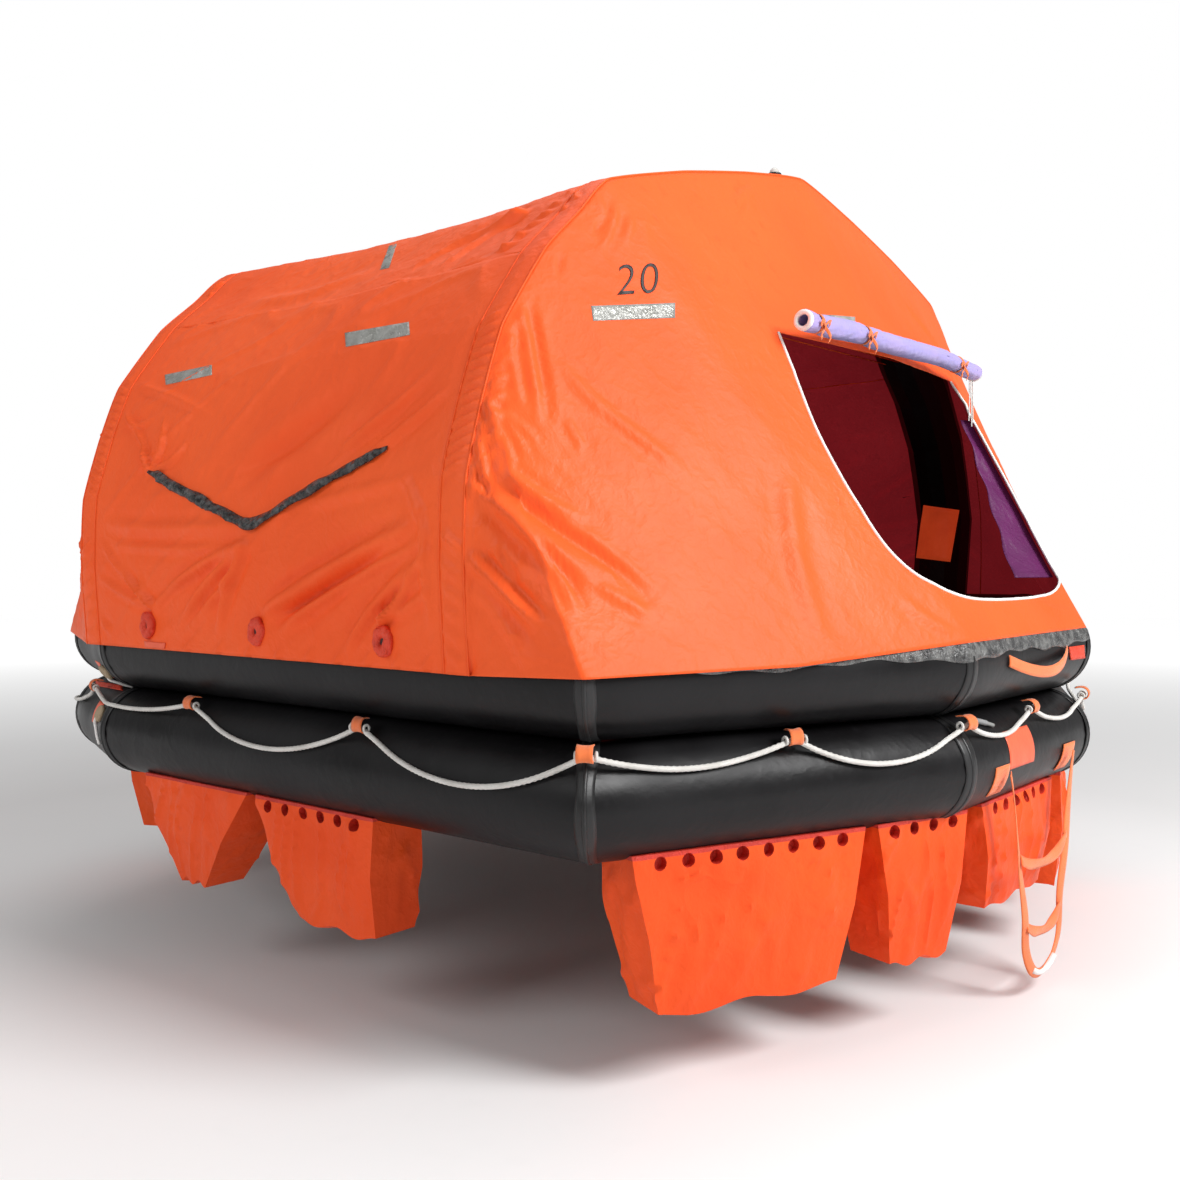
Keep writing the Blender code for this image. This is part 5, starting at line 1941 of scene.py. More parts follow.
@dataclass
class Lifeline:
    """The white grab rope and its webbing tabs round the lower tube."""

    plan: HullPlan
    palette: Palette
    fastenings: tuple[Pair, ...] = (
        (0.000, 0.060),
        (0.520, 0.090),
        (1.110, 0.055),
        (1.707, 0.118),
        (2.540, 0.105),
        (3.390, 0.045),
        (4.180, 0.085),
        (4.860, 0.070),
        (5.440, 0.070),
    )
    head: float = 0.261
    least_reach: float = 0.142
    radius: float = 0.0082
    pitch: float = 0.052
    rows: int = 1500
    tab_width: float = 0.044
    tab_profile: tuple[Pair, ...] = (
        (0.112, 0.284),
        (0.136, 0.288),
        (0.154, 0.280),
        (0.161, 0.264),
        (0.156, 0.248),
        (0.143, 0.243),
        (0.130, 0.250),
    )

    def stops(self) -> list[float]:
        """Every fastening's distance, all the way round."""
        half = [place for place, _ in self.fastenings]
        stern = self.plan.perimeter / 2
        return half + [stern] + [self.plan.perimeter - s for s in reversed(half[1:])] + [self.plan.perimeter]

    def spot(self, distance: float, height: float) -> np.ndarray:
        """A point of the rope's middle at a place round the raft."""
        rise = height - self.plan.lower
        skin = math.sqrt(max((self.plan.tube_radius + self.radius + 0.006) ** 2 - rise**2, 0.0))
        return self.plan.spot(distance, 0.0, max(skin, self.least_reach), height)

    def route(self) -> np.ndarray:
        """Points all round the rope's middle, each span sagging between its tabs."""
        points = []
        stops = self.stops()
        sags = [sag for _, sag in self.fastenings]
        for start, end, sag in zip(stops, stops[1:], sags + sags[::-1]):
            for share in np.linspace(0, 1, 24, endpoint=False):
                height = self.head - sag * 4 * share * (1 - share)
                points.append(self.spot(start + (end - start) * share, height))
        return np.array(points + points[:1])

    def build_rope(self) -> None:
        """The rope as three strands laid round each other."""
        line = self.route()
        turns = round(distances_along(line)[-1] / self.pitch)
        path = spaced(line, self.rows + 1)
        tangent = np.roll(path, -1, axis=0) - np.roll(path, 1, axis=0)
        tangent[0] = tangent[-1] = path[1] - path[-2]
        tangent /= np.linalg.norm(tangent, axis=1)[:, None]
        side = np.cross(tangent, (0.0, 0.0, 1.0))
        side /= np.linalg.norm(side, axis=1)[:, None]
        up = np.cross(side, tangent)

        def surface(u: np.ndarray, v: np.ndarray) -> np.ndarray:
            """Points of the rope's lobed skin."""
            row = np.rint(v * self.rows).astype(int)
            angle = 2 * math.pi * u
            lobe = np.abs(np.cos(1.5 * angle - math.pi * 3 * turns * v))
            radius = self.radius * (0.74 + 0.30 * lobe)
            out = side[row] * (np.cos(angle) * radius)[:, None]
            return path[row] + out + up[row] * (np.sin(angle) * radius)[:, None]

        rope = curved_grid("grab_rope", (12, self.rows), surface)
        weld(rope, 0.0002)
        settle(rope, "white_rope", self.palette.rope)
        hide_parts("lifeline")

    def build_tabs(self) -> None:
        """A webbing loop over the rope at each fastening, with a white eye on each side."""
        tabs, eyes = [], []
        for distance in self.stops()[:-1]:
            path = [self.plan.spot(distance, 0.0, out, z) for out, z in self.tab_profile]
            ends = self.plan.around(np.array([distance - 0.01, distance + 0.01]), np.zeros(2), 0.15, 0.2)
            along = Vector(ends[1] - ends[0])
            tabs.append(ribbon("tab", smooth_path(path, 16), along, self.tab_width, 0.0030, 0.003))
            for hand in (-1, 1):
                hold = self.spot(distance + hand * 0.030, self.head - 0.004)
                turn = along.to_track_quat("Z", "Y").to_euler()
                eyes.append(add_ring((0.0105, 0.0042), (14, 8), hold, turn))
        settle(join("rope_tabs", tabs), "orange_webbing", self.palette.webbing)
        settle(join("rope_eyes", eyes), "white_rope", self.palette.rope)

    def build(self) -> None:
        """Build the rope and what holds it."""
        self.build_rope()
        self.build_tabs()


@dataclass
class BoardingLadder:
    """A webbing ladder that hangs under an entrance, with its patches on the tube."""

    plan: HullPlan
    palette: Palette
    end: End
    reach: float = 1.9945
    width: float = 0.036
    steps: tuple[float, ...] = (-0.210, -0.440)
    step_sag: tuple[Pair, ...] = ((-1.0, 0.0), (-0.6, -0.030), (0.0, -0.046), (0.6, -0.034), (1.0, 0.006))
    side: tuple[Pair, ...] = (
        (0.306, 0.083),
        (0.288, 0.020),
        (0.262, -0.100),
        (0.212, -0.250),
        (0.178, -0.400),
        (0.152, -0.520),
        (0.110, -0.595),
        (0.045, -0.622),
    )
    unevenness: tuple[float, ...] = (0.0, 0.002, 0.004, -0.002, 0.003, -0.003, 0.002, 0.004)
    foot: tuple[Pair, ...] = (
        (-0.100, -0.600),
        (-0.050, -0.618),
        (0.0, -0.623),
        (0.050, -0.618),
        (0.100, -0.600),
    )
    patch_size: Pair = (0.10, 0.11)
    patch_middle: float = 0.300

    def half_at(self, height: float) -> float:
        """Half the ladder's width at a height."""
        return float(np.interp(height, (-0.610, 0.065), (0.130, 0.300)))

    def spot(self, y: float, z: float, out: float = 0.0) -> tuple[float, float, float]:
        """A point of the ladder's plane."""
        return self.end.value * (self.reach + out), y, z

    def build_straps(self) -> bpy.types.Object:
        """The side straps in one length round the foot, and the sagging steps."""
        left = [self.spot(-y, z, out) for (y, z), out in zip(self.side, self.unevenness)]
        right = [self.spot(y, z, -out) for (y, z), out in zip(self.side, self.unevenness)]
        pieces = [self.edgewise("side_strap", smooth_path(left + right[::-1], 120))]
        for height in self.steps:
            edge = self.half_at(height) - 0.010
            points = [self.spot(edge * y, height + z, 0.004) for y, z in self.step_sag]
            pieces.append(self.edgewise("step", smooth_path(points, 30)))
        return join(f"ladder_webbing_{self.end.name.lower()}", pieces)

    def edgewise(self, name: str, path: np.ndarray) -> bpy.types.Object:
        """A strap that lies in the ladder's plane, bent sideways with its path."""
        tangent = np.gradient(path, axis=0)
        tangent /= np.linalg.norm(tangent, axis=1)[:, None]
        side = np.cross(tangent, (1.0, 0.0, 0.0))
        steps = len(path) - 1

        def surface(u: np.ndarray, v: np.ndarray) -> np.ndarray:
            """Points of the strap, a little cupped and twisted."""
            row = np.rint(v * steps).astype(int)
            twist = 0.35 * np.sin(v * 9.0 + 1.0)
            offset = (u - 0.5) * self.width
            flat = side[row] * (offset * np.cos(twist))[:, None]
            depth = offset * np.sin(twist) + 0.0015 * (1 - (2 * u - 1) ** 2)
            return path[row] + flat + np.outer(depth, (1.0, 0.0, 0.0))

        piece = curved_grid(name, (4, steps), surface, metres=(self.width, length_of(path)))
        thicken(piece, 0.0026, 0.0)
        return piece

    def build_foot(self) -> bpy.types.Object:
        """The stiff tube that keeps the foot open."""
        points = [self.spot(y, z, 0.003) for y, z in self.foot]
        return round_cord(f"ladder_foot_{self.end.name.lower()}", smooth_path(points, 24), 0.011, 12)

    def build_patches(self) -> None:
        """The patches that the ladder is sewn to, curved round the lower tube."""
        near = self.patch_middle if self.end is End.FRONT else self.plan.perimeter / 2 - self.patch_middle
        for middle, side in ((near, "starboard"), (self.plan.perimeter - near, "port")):
            label = f"{self.end.name.lower()}_{side}"
            name, size = f"ladder_hold_{label}", self.patch_size
            start = middle - size[1] / 2
            patch = self.plan.patch(name, self.plan.lower, start, (-38, 36), size, (8, 10), 0.004, 0.003)
            settle(patch, "orange_webbing", self.palette.webbing)
            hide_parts(f"ladder_patch_{label}")

    def build(self) -> None:
        """Build the ladder on its own body and the patches on the raft."""
        body = Body.LADDER_FRONT if self.end is End.FRONT else Body.LADDER_REAR
        ladder = settle(self.build_straps(), "orange_webbing", self.palette.webbing, body=body)
        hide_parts(f"boarding_ladder_{self.end.name.lower()}")
        settle(self.build_foot(), "white_plastic", self.palette.white, body=body)
        self.build_patches()


@dataclass
class EntranceRoll:
    """The front entrance's closure, rolled up over the opening, with its ties and loose cords."""

    palette: Palette
    radius: float = 0.036
    half: float = 0.697
    cord_thickness: float = 0.005
    flat: Pair = (1.41, 0.24)
    ties: tuple[float, ...] = (-0.62, -0.28, 0.50)
    cords: tuple[tuple[str, float, float, float], ...] = (
        ("inner", 0.648, 0.172, -0.006),
        ("middle", 0.664, 0.192, 0.008),
        ("outer", 0.680, 0.176, 0.004),
    )
    middle: Vector = field(init=False)

    def __post_init__(self) -> None:
        """Take the roll's axis from its CAD node."""
        low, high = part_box("door_roll_front")
        self.middle = (Vector(low) + Vector(high)) / 2

    def axis(self, y: np.ndarray) -> np.ndarray:
        """Points along the roll's slightly uneven middle."""
        x = self.middle.x + 0.004 * np.sin(y * 5.0)
        z = self.middle.z + 0.006 * np.sin(y * 4.0 + 1.2) - 0.004 * np.cos(y * 9.0)
        return np.column_stack([x, y, z])

    def build_roll(self) -> None:
        """The rolled cloth, hollow at its ends."""

        def surface(u: np.ndarray, v: np.ndarray) -> np.ndarray:
            """Points of the roll's outside."""
            y = (2 * v - 1) * self.half
            angle = 2 * math.pi * u
            pinch = 1 - 0.13 * sum(np.exp(-(((y - tie) / 0.035) ** 2)) for tie in self.ties)
            lumps = 1 + 0.05 * np.sin(angle * 2 + y * 3) + 0.03 * np.sin(y * 17 + angle)
            radius = self.radius * 0.95 * pinch * lumps
            middle = self.axis(y)
            return middle + np.column_stack([np.cos(angle) * radius, y * 0, np.sin(angle) * radius])

        def relief(u: np.ndarray, v: np.ndarray, points: np.ndarray) -> np.ndarray:
            """Creases that twist along the roll."""
            return folds(points, (0.1, 1.0, 0.25), 0.18, 0.02, 21.0) * 0.003

        roll = curved_grid("closure_roll", (32, 150), surface, relief)
        weld_open(roll, 0.0004)
        face_away(roll, self.middle)
        thicken(roll, 0.009)
        settle(roll, "lavender_lining", self.palette.roll)
        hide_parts("door_roll_front")

    def build_ends(self) -> None:
        """The pale edging that shows as a ring at each end of the roll."""
        rings = []
        for hand in (-1, 1):
            place = self.axis(np.array([hand * (self.half + 0.002)]))[0]
            ring = add_ring((0.0265, 0.0085), (32, 12), place, (math.pi / 2, 0, 0))
            displace(ring, crumple(get_points(ring), 30.0, 3.0, 2) * 0.002)
            rings.append(ring)
        settle(join("roll_end_rings", rings), "white_rope", self.palette.white)

    def build_ties(self) -> None:
        """Webbing ties round the roll, each with a small bow in front."""
        pieces = []
        for y in self.ties:
            middle = self.axis(np.array([y]))[0]
            angles = np.linspace(0, 2 * math.pi, 33)
            hoop = middle + np.column_stack([np.cos(angles), angles * 0, np.sin(angles)]) * self.radius * 0.90
            pieces.append(ribbon("hoop", hoop, (0.0, 1.0, 0.0), 0.014, 0.0025))
            knot = middle + np.array((self.radius * 0.92, 0.0, -self.radius * 0.35))
            for hand, rise in ((-1, 0.010), (1, 0.016), (-1, -0.030), (1, -0.034)):
                bow = [
                    knot,
                    knot + np.array((0.008, hand * 0.014, rise * 0.7 + 0.004)),
                    knot + np.array((0.006, hand * 0.032, rise)),
                    knot + np.array((0.004, hand * 0.022, rise - 0.012)),
                ]
                pieces.append(ribbon("bow", smooth_path(bow, 12), (0.4, 0.0, 1.0), 0.013, 0.0018))
        settle(join("roll_ties", pieces), "orange_webbing", self.palette.webbing)

    def build_cords(self) -> None:
        """The ties' loose white ends, hanging straight down from the roll."""
        top = self.middle.z - self.radius - 0.0003
        for name, y, length, lean in self.cords:
            shares = np.arange(25) / 24
            path = [(self.middle.x, y + lean * share**2, top - length * share) for share in shares]
            cord = curve_along(f"tie_end_{name}", path, self.cord_thickness / 2, 10)
            cord.data.materials.append(self.palette.rope)
            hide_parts(f"door_cord_{name}")
            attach(cord, Body.RAFT.value)

    def build(self) -> None:
        """Build the roll and what hangs from it."""
        self.build_roll()
        self.build_ends()
        self.build_ties()
        self.build_cords()


@dataclass
class Trim:
    """Edgings, gutters, ports, marks and fittings laid on the canopy and tubes."""

    plan: HullPlan
    palette: Palette
    canopy: Canopy
    painter: Painter
    gutter_line: tuple[Pair, ...] = ((-0.560, 1.075), (0.070, 0.866), (0.700, 1.086))
    lip_flat: Pair = (0.05, 1.36)
    port_places: tuple[Pair, ...] = ((-0.54, 0.530), (0.10, 0.530), (0.715, 0.525))
    port_shape: tuple[float, float, float] = (0.88, 0.90, 1.08)
    outside: float = 4.0
    lining_heights: Pair = (1.34, 0.702)
    lining_widths: Pair = (0.045, 0.215)

    def build_entrance_edges(self) -> None:
        """The white piping round both entrances."""
        for end in End:
            skin = self.canopy.skins[f"end_cloth_{end.name.lower()}"]
            path = []
            for y, z in self.canopy.door_outline(count=150):
                start = (end.value * self.outside, y, z)
                path.append(skin.hit(start, (-end.value, 0.0, 0.0), 0.0))
            piping = round_cord(f"entrance_piping_{end.name.lower()}", np.array(path), 0.0052, 8)
            settle(piping, "white_rope", self.palette.white)

    def build_seams(self) -> None:
        """The sewn ridges between the canopy's panels."""
        front, rear = self.canopy.edges
        fore, aft = front - self.canopy.band_width, rear + self.canopy.band_width
        outline = self.canopy.over_arches(np.linspace(0, 20, 240))
        ridges = []
        for index, x in enumerate((fore, front, aft, rear)):
            path = np.column_stack([np.full(len(outline), x), outline])
            ridges.append(round_cord(f"ridge_{index}", path, 0.0032, 6))
        for row, hand in ((5.0, -1), (15.0, 1)):
            y, z = self.canopy.over_arches(np.array([row]))[0]
            skin = self.canopy.skins["roof_cloth"]
            path = []
            for x in np.linspace(aft, fore, 60):
                path.append(skin.hit((x, y + hand * 0.4, z + 0.3), (0.0, -hand * 0.8, -0.6), -0.001))
            ridges.append(round_cord(f"shoulder_{hand}", np.array(path), 0.0028, 6))
        settle(join("canopy_seams", ridges), "orange_cloth", self.palette.canopy)

    def build_gutter(self) -> None:
        """The black film gutter, a shallow V across each flank."""
        line = smooth_corner(self.gutter_line, 0.05, 90)
        skin = self.canopy.skins["flank_cloth_starboard"]
        seat = np.array([skin.hit((x, -self.outside, z), (0.0, 1.0, 0.0), 0.001) for x, z in line])
        steps = len(line) - 1

        def surface(u: np.ndarray, v: np.ndarray) -> np.ndarray:
            """Points of the gutter's lip, from its glued top edge out and down."""
            row = np.rint(v * steps).astype(int)
            fade = np.minimum(1, np.minimum(v, 1 - v) * 12 + 0.3)
            wide = (0.036 + 0.008 * np.sin(v * 40) * np.sin(v * 13 + 1)) * fade
            out = 0.016 * np.sin(math.pi * np.clip(u * 0.75, 0, 1)) * fade
            lean = np.array((0.0, -1.0, 0.0))
            return seat[row] + np.outer(out, lean) + np.column_stack([u * 0, u * 0, (0.55 - u) * wide])

        def relief(u: np.ndarray, v: np.ndarray, points: np.ndarray) -> np.ndarray:
            """Sharp crinkles of the film."""
            smooth = 1 - 0.9 * np.exp(-(((v - 0.520) / 0.07) ** 2))
            return folds(points, (0.15, 0.1, 1.0), 0.07, 0.014, 31.0) * 0.006 * np.minimum(1, u * 3) * smooth

        lip = curved_grid("gutter_lip_starboard", (10, steps), surface, relief)
        face_away(lip, (0.0, 0.0, 0.9))
        thicken(lip, 0.0012)
        other = mirrored(lip, "gutter_lip_port")
        for piece, label in ((lip, "starboard"), (other, "port")):
            settle(piece, "black_rubber", self.palette.gutter)
            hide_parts(f"gutter_{label}")

    def build_ports(self) -> None:
        """The puffy rolled cuffs low on each flank, each round a dark oval of painted shade that stands for
        its opening.
        """
        skin = self.canopy.skins["flank_cloth_starboard"]
        cuffs, shade_ovals = [], []
        for index, (x, z) in enumerate(self.port_places):
            seat = skin.hit((x, -self.outside, z), (0.0, 1.0, 0.0), 0.004)
            cuff = add_ring((0.026, 0.0185), (40, 16), seat, (math.pi / 2, 0, 0))
            points = get_points(cuff) - np.array(seat)
            set_points(cuff, points * self.port_shape + np.array(seat))
            displace(cuff, crumple(get_points(cuff), 38.0, 3.0 + index, 2) * 0.006)
            cuffs.append(cuff)
            # painted shade: a flat dark oval stands for the shade inside the port's opening
            shade_ovals.append(self.disc(seat, 0.014, 0.028))
        made = (("port_cuffs", cuffs, self.palette.cuff), ("port_slits", shade_ovals, self.palette.ink_and_shade))
        for name, parts, finish in made:
            whole = join(f"{name}_starboard", parts)
            twin = mirrored(whole, f"{name}_port")
            for piece in (whole, twin):
                settle(piece, "orange_cloth", finish)

    def disc(self, seat: Vector, wide: float, tall: float) -> bpy.types.Object:
        """A small domed oval that faces to starboard."""
        select_only()
        bpy.ops.mesh.primitive_uv_sphere_add(segments=20, ring_count=10, radius=1.0)
        piece = bpy.context.object
        set_points(piece, get_points(piece) * (wide, 0.005, tall) + np.array(seat))
        piece.data.shade_smooth()
        return piece

    def build_marks(self) -> None:
        """The reflective tapes and the plain number on the canopy."""
        front = self.canopy.skins["end_cloth_front"]
        flank = self.canopy.skins["flank_cloth_starboard"]
        roof = self.canopy.skins["roof_cloth"]
        tapes = (
            ("front_left", front, ((591, 306), (675, 303), (675, 318), (593, 321))),
            ("front_right", front, ((806, 313), (855, 317), (855, 330), (807, 326))),
            ("flank_fore", flank, ((345, 333), (409, 322), (410, 335), (346, 347))),
            ("flank_aft", flank, ((165, 375), (212, 365), (212, 375), (166, 385))),
            ("roof", roof, ((394, 234), (401, 232), (389, 268), (380, 270))),
        )
        pieces = [self.painter.patch(f"tape_{name}", Quad(seen), skin, (28, 6)) for name, skin, seen in tapes]
        settle(join("reflective_tapes", pieces), "white_plastic", self.palette.foil)
        quad = Quad(((619, 265), (659, 263), (657, 293), (617, 295)))
        number = self.painter.number("capacity_number", "20", quad, front)
        settle(number, "black_rubber", self.palette.ink_and_shade)

    def build_handle(self) -> None:
        """The webbing handle on the upper tube at the open entrance."""
        bow = self.plan.starboard[0][0] + self.plan.tube_radius
        points = []
        for share in np.linspace(0, 1, 9):
            lift = 4 * share * (1 - share)
            y = 0.28 * (2 * share - 1)
            points.append((bow + 0.004 + 0.036 * lift, y, self.plan.upper - 0.05 * lift))
        strap = ribbon("bow_handle", smooth_path(points, 60), (0.0, 0.0, 1.0), 0.038, 0.003, 0.002)
        settle(strap, "orange_webbing", self.palette.webbing)
        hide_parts("handle_strap_front")

    def build_valves(self) -> None:
        """Each tube's inflation valve under its beige cover, with a patch and a short hose."""
        valves = (("upper", self.plan.upper, 4.010, -40.0), ("lower", self.plan.lower, 3.990, 22.0))
        for name, height, distance, tilt in valves:
            seat = Vector(self.plan.spot(distance, math.radians(tilt), self.plan.tube_radius, height))
            axis = Vector(self.plan.spot(distance, 0.0, 0.0, height))
            normal = (seat - axis).normalized()
            turn = normal.to_track_quat("Z", "Y").to_matrix().to_4x4()
            select_only()
            bpy.ops.mesh.primitive_uv_sphere_add(segments=36, ring_count=18, radius=1.0)
            cover = bpy.context.object
            cover.name = f"valve_cover_{name}"
            unit = get_points(cover)
            crown = np.sign(unit[:, 2]) * np.abs(unit[:, 2]) ** 0.7
            shaped = np.column_stack([unit[:, 0] * 0.037, unit[:, 1] * 0.034, crown * 0.013])
            world = [turn @ Vector(p) + seat + normal * 0.006 for p in shaped]
            set_points(cover, np.array(world))
            cover.data.shade_smooth()
            settle(cover, "white_plastic", self.palette.beige)
            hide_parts(f"valve_{name}")
            self.build_valve_patch(name, height, distance, tilt)

    def build_valve_patch(self, name: str, height: float, distance: float, tilt: float) -> None:
        """The bright patch beside a valve and the white hose that hangs from it."""
        angles, size = (tilt - 16, 30), (0.08, 0.10)
        start = distance + 0.035
        patch = self.plan.patch(f"valve_patch_{name}", height, start, angles, size, (6, 8), 0.0018, 0.0015)
        settle(patch, "orange_webbing", self.palette.patch)
        turns = ((0.6, 0.012), (-4.0, 0.016), (-12.0, 0.010), (-24.0, 0.007), (-33.0, 0.006))
        path = []
        for index, (swing, lift) in enumerate(turns):
            angle = math.radians(tilt + swing - 6)
            radius = self.plan.tube_radius + lift
            path.append(self.plan.spot(distance - 0.006 * index, angle, radius, height))
        hose = round_cord(f"valve_hose_{name}", smooth_path(path, 24), 0.006, 10)
        settle(hose, "white_plastic", self.palette.white)

    def build_label_patch(self) -> None:
        """The blank patch on the lower tube at the entrance."""
        patch = self.plan.patch(
            "blank_patch", self.plan.lower, 0.03, (-10, 44), (0.12, 0.21), (10, 14), 0.0018, 0.0015
        )
        settle(patch, "orange_webbing", self.palette.patch)

    def build_fittings(self) -> None:
        """The small patches, pulls and nozzle beside the entrance and at the stern quarter."""
        upper = Skin(bpy.data.objects["buoyancy_tube_upper_skin"])
        lower = Skin(bpy.data.objects["buoyancy_tube_lower_skin"])
        flank = self.canopy.skins["flank_cloth_starboard"]
        cuff, pull, bright = self.palette.cuff, self.palette.pull, self.palette.patch
        places = (
            ("handle_box", upper, ((1068, 647), (1083, 645), (1084, 658), (1070, 660)), 0.004, cuff),
            ("tube_pull", upper, ((1082, 676), (1098, 675), (1099, 691), (1085, 694)), 0.006, pull),
            ("crease_strap", lower, ((96, 681), (123, 686), (123, 691), (96, 686)), 0.002, cuff),
            ("port_flap", flank, ((145, 641), (166, 643), (165, 649), (146, 647)), 0.003, bright),
        )
        for name, skin, corners, thickness, finish in places:
            patch = self.painter.patch(name, Quad(corners), skin, (8, 6), thickness + 0.001, thickness)
            settle(patch, "orange_webbing", finish)
        seen = ((966, 721), (975, 723), (984, 725), (991, 727))
        path = [self.painter.cast(lower, px, py, 0.009) for px, py in seen]
        body = round_cord("inflation_nozzle", smooth_path(path[:3], 16), 0.009, 14)
        settle(body, "white_plastic", pull)
        tip = round_cord("nozzle_tip", smooth_path(path[2:], 8), 0.0065, 14)
        settle(tip, "cylinder_paint", self.palette.enamel)

    def build_light(self) -> None:
        """The canopy light: a short base, a dark rim and a clear dome."""
        low, high = (Vector(corner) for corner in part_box("canopy_light"))
        middle = (low + high) / 2
        radius = min(high.x - low.x, high.y - low.y) / 2 * 0.92
        rim_height = low.z + 0.040
        select_only()
        bpy.ops.mesh.primitive_cylinder_add(
            vertices=32, radius=radius, depth=0.040, location=(middle.x, middle.y, low.z + 0.020)
        )
        base = apply_place(bpy.context.object)
        seat = (middle.x, middle.y, rim_height)
        select_only()
        bpy.ops.mesh.primitive_uv_sphere_add(segments=32, ring_count=16, radius=1.0)
        dome = bpy.context.object
        set_points(dome, get_points(dome) * (radius * 0.84, radius * 0.84, 0.028) + seat)
        dome.data.shade_smooth()
        rim = add_ring((radius * 0.93, 0.0055), (40, 12), seat)
        parts = (
            (base, "light_base", "white_plastic", self.palette.white),
            (dome, "light_dome", "white_plastic", self.palette.plastic),
            (rim, "light_rim", "black_rubber", self.palette.tape),
        )
        for piece, name, slot, finish in parts:
            piece.name = piece.data.name = name
            settle(piece, slot, finish)
        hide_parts("canopy_light")

    def lining(self) -> bpy.types.Object:
        """A closed strip of lining that hangs inside the open entrance's port edge."""
        heights, widths = self.lining_heights, self.lining_widths
        skin = self.canopy.skins["end_cloth_front"]
        outline = self.canopy.door_outline(count=240)
        edge = outline[outline[:, 0] > 0.2]
        edge = edge[np.argsort(edge[:, 1])]
        tucked = 0.040

        def surface(u: np.ndarray, v: np.ndarray) -> np.ndarray:
            """Points of the strip, from behind the entrance's edge inward."""
            z = heights[0] + (heights[1] - heights[0]) * v
            y = np.interp(z, edge[:, 1], edge[:, 0]) + tucked
            rim = [skin.hit((self.outside, *place), (-1.0, 0.0, 0.0), -0.014) for place in zip(y, z)]
            reach = (widths[0] + (widths[1] - widths[0]) * v) * u
            ripple = 0.006 * np.sin(v * 23 + u * 4) * u
            return np.array(rim) + np.column_stack([-0.35 * reach + ripple, -reach, reach * 0])

        strip = curved_grid("lining_edge", (10, 40), surface, metres=(widths[1], heights[0] - heights[1]))
        face_away(strip, (0.0, 0.0, 1.0))
        thicken(strip, 0.002)
        return strip

    def build_interior(self) -> None:
        """What shows through the open entrance: the strip of lining, dark purple in painted shade, and the
        patch on the arch's leg, both with painted glow.
        """
        # the lining strip in painted shade with painted glow
        settle(self.lining(), "lavender_lining", self.palette.flap)
        leg = Skin(bpy.data.objects["arch_tube_front"])
        quad = Quad(((924, 505), (959, 510), (950, 562), (917, 558)))
        # the patch takes a painted glow
        patch = self.painter.patch("leg_patch", quad, leg, (10, 12), 0.003, 0.002)
        settle(patch, "orange_webbing", self.palette.inner)

    def build(self) -> None:
        """Build every piece of trim."""
        self.build_entrance_edges()
        self.build_seams()
        self.build_gutter()
        self.build_ports()
        self.build_marks()
        self.build_handle()
        self.build_valves()
        self.build_label_patch()
        self.build_fittings()
        self.build_light()
        self.build_interior()


def plain_finishes(palette: Palette) -> None:
    """Give each CAD node that shows its finish."""
    finishes = {
        "arch_tube": palette.rubber,
        "floor_mattress": palette.floor,
        "righting_strap": palette.webbing,
        "cylinder_band": palette.webbing,
        "gas_cylinder": palette.enamel,
    }
    for name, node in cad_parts.items():
        for start, material in finishes.items():
            if name.startswith(start):
                node.data.materials.clear()
                node.data.materials.append(material)


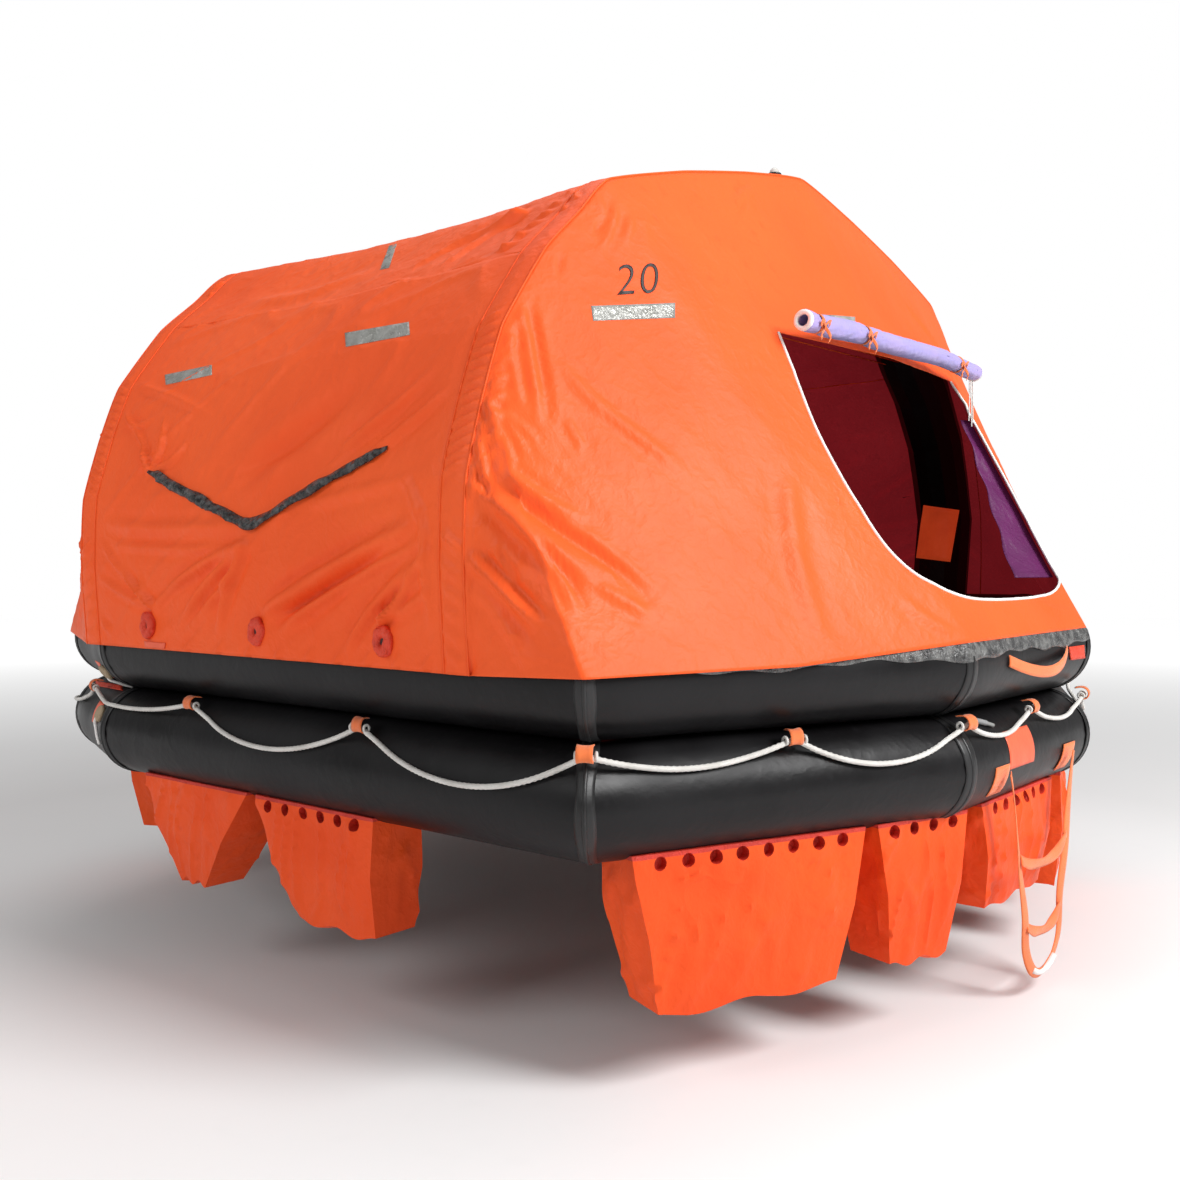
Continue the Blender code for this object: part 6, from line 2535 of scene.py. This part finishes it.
@dataclass
class Studio:
    """A plain pale room: floor, lights and the view."""

    view: PhotoView
    floor_height: float = -0.70
    lamps: tuple[tuple[str, tuple[float, float, float], float, float], ...] = (
        ("key_lamp", (7.0, -0.2, 4.8), 3.0, 640.0),
        ("fill_lamp", (-1.5, -8.0, 4.5), 4.0, 175.0),
        ("top_lamp", (-1.0, 1.0, 8.0), 6.0, 170.0),
    )

    def build_floor(self) -> None:
        """A wide pale floor under the raft."""
        select_only()
        bpy.ops.mesh.primitive_circle_add(vertices=96, radius=30.0, fill_type="NGON", location=(0, 0, 0))
        floor = bpy.context.object
        floor.name = floor.data.name = "studio_floor"
        set_points(floor, get_points(floor) + np.array((0.0, 0.0, self.floor_height)))
        light, dark = (0.90, 0.90, 0.90), (0.86, 0.86, 0.86)
        pale = Finish("studio_pale", light, dark, 0.3, 0.6, 0.9, 0.05, strength=0.02).make()
        bench = Bench(pale.node_tree)
        place = bench.node("ShaderNodeTexCoord").outputs["Object"]
        away = bench.node("ShaderNodeVectorMath", {"operation": "LENGTH"}, Vector=place).outputs["Value"]
        fade = bench.node("ShaderNodeMapRange", Value=away)
        for key, value in {"From Min": 4.0, "From Max": 15.0, "To Min": 0.0, "To Max": 0.72}.items():
            fade.inputs[key].default_value = value
        shader = pale.node_tree.nodes["Principled BSDF"]
        bench.feed(shader.inputs["Emission Color"], fade.outputs["Result"])
        shader.inputs["Emission Strength"].default_value = 1.0
        floor.data.materials.append(pale)

    def light(self, name: str, place: tuple[float, float, float], size: float, power: float) -> None:
        """A large soft lamp aimed at the raft's middle."""
        data = bpy.data.lights.new(name, "AREA")
        data.size = size
        data.energy = power
        lamp = link(name, data)
        lamp.location = place
        lamp.rotation_euler = (Vector((0, 0, 0.8)) - Vector(place)).to_track_quat("-Z", "Y").to_euler()

    def build(self) -> None:
        """Set the floor, lamps, world and camera."""
        self.build_floor()
        for lamp in self.lamps:
            self.light(*lamp)
        world = bpy.data.worlds.new("studio_world")
        bpy.context.scene.world = world
        world.use_nodes = True
        background = world.node_tree.nodes["Background"]
        background.inputs["Color"].default_value = (1.0, 1.0, 1.0, 1.0)
        bench = Bench(world.node_tree)
        seen = bench.node("ShaderNodeLightPath").outputs["Is Camera Ray"]
        mix = bench.node("ShaderNodeMix", {"data_type": "FLOAT"}, Factor=seen, A=0.30, B=1.0)
        bench.feed(background.inputs["Strength"], mix.outputs["Result"])
        bpy.context.scene.view_settings.view_transform = "Standard"
        self.view.make_camera()


def main() -> None:
    """Build every part of the raft's looks in order."""
    logging.basicConfig(level=logging.INFO, format="%(name)s %(message)s")
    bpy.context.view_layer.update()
    palette = Palette(Finishes())
    view = PhotoView()
    plan = HullPlan()
    BuoyancyTubes(plan, palette).build()
    canopy = Canopy(plan, palette, view)
    canopy.build()
    BallastPockets(plan, palette).build()
    Lifeline(plan, palette).build()
    for end in End:
        BoardingLadder(plan, palette, end).build()
    EntranceRoll(palette).build()
    Trim(plan, palette, canopy, Painter(view)).build()
    Studio(view).build()
    plain_finishes(palette)


if __name__ == "__main__":
    main()
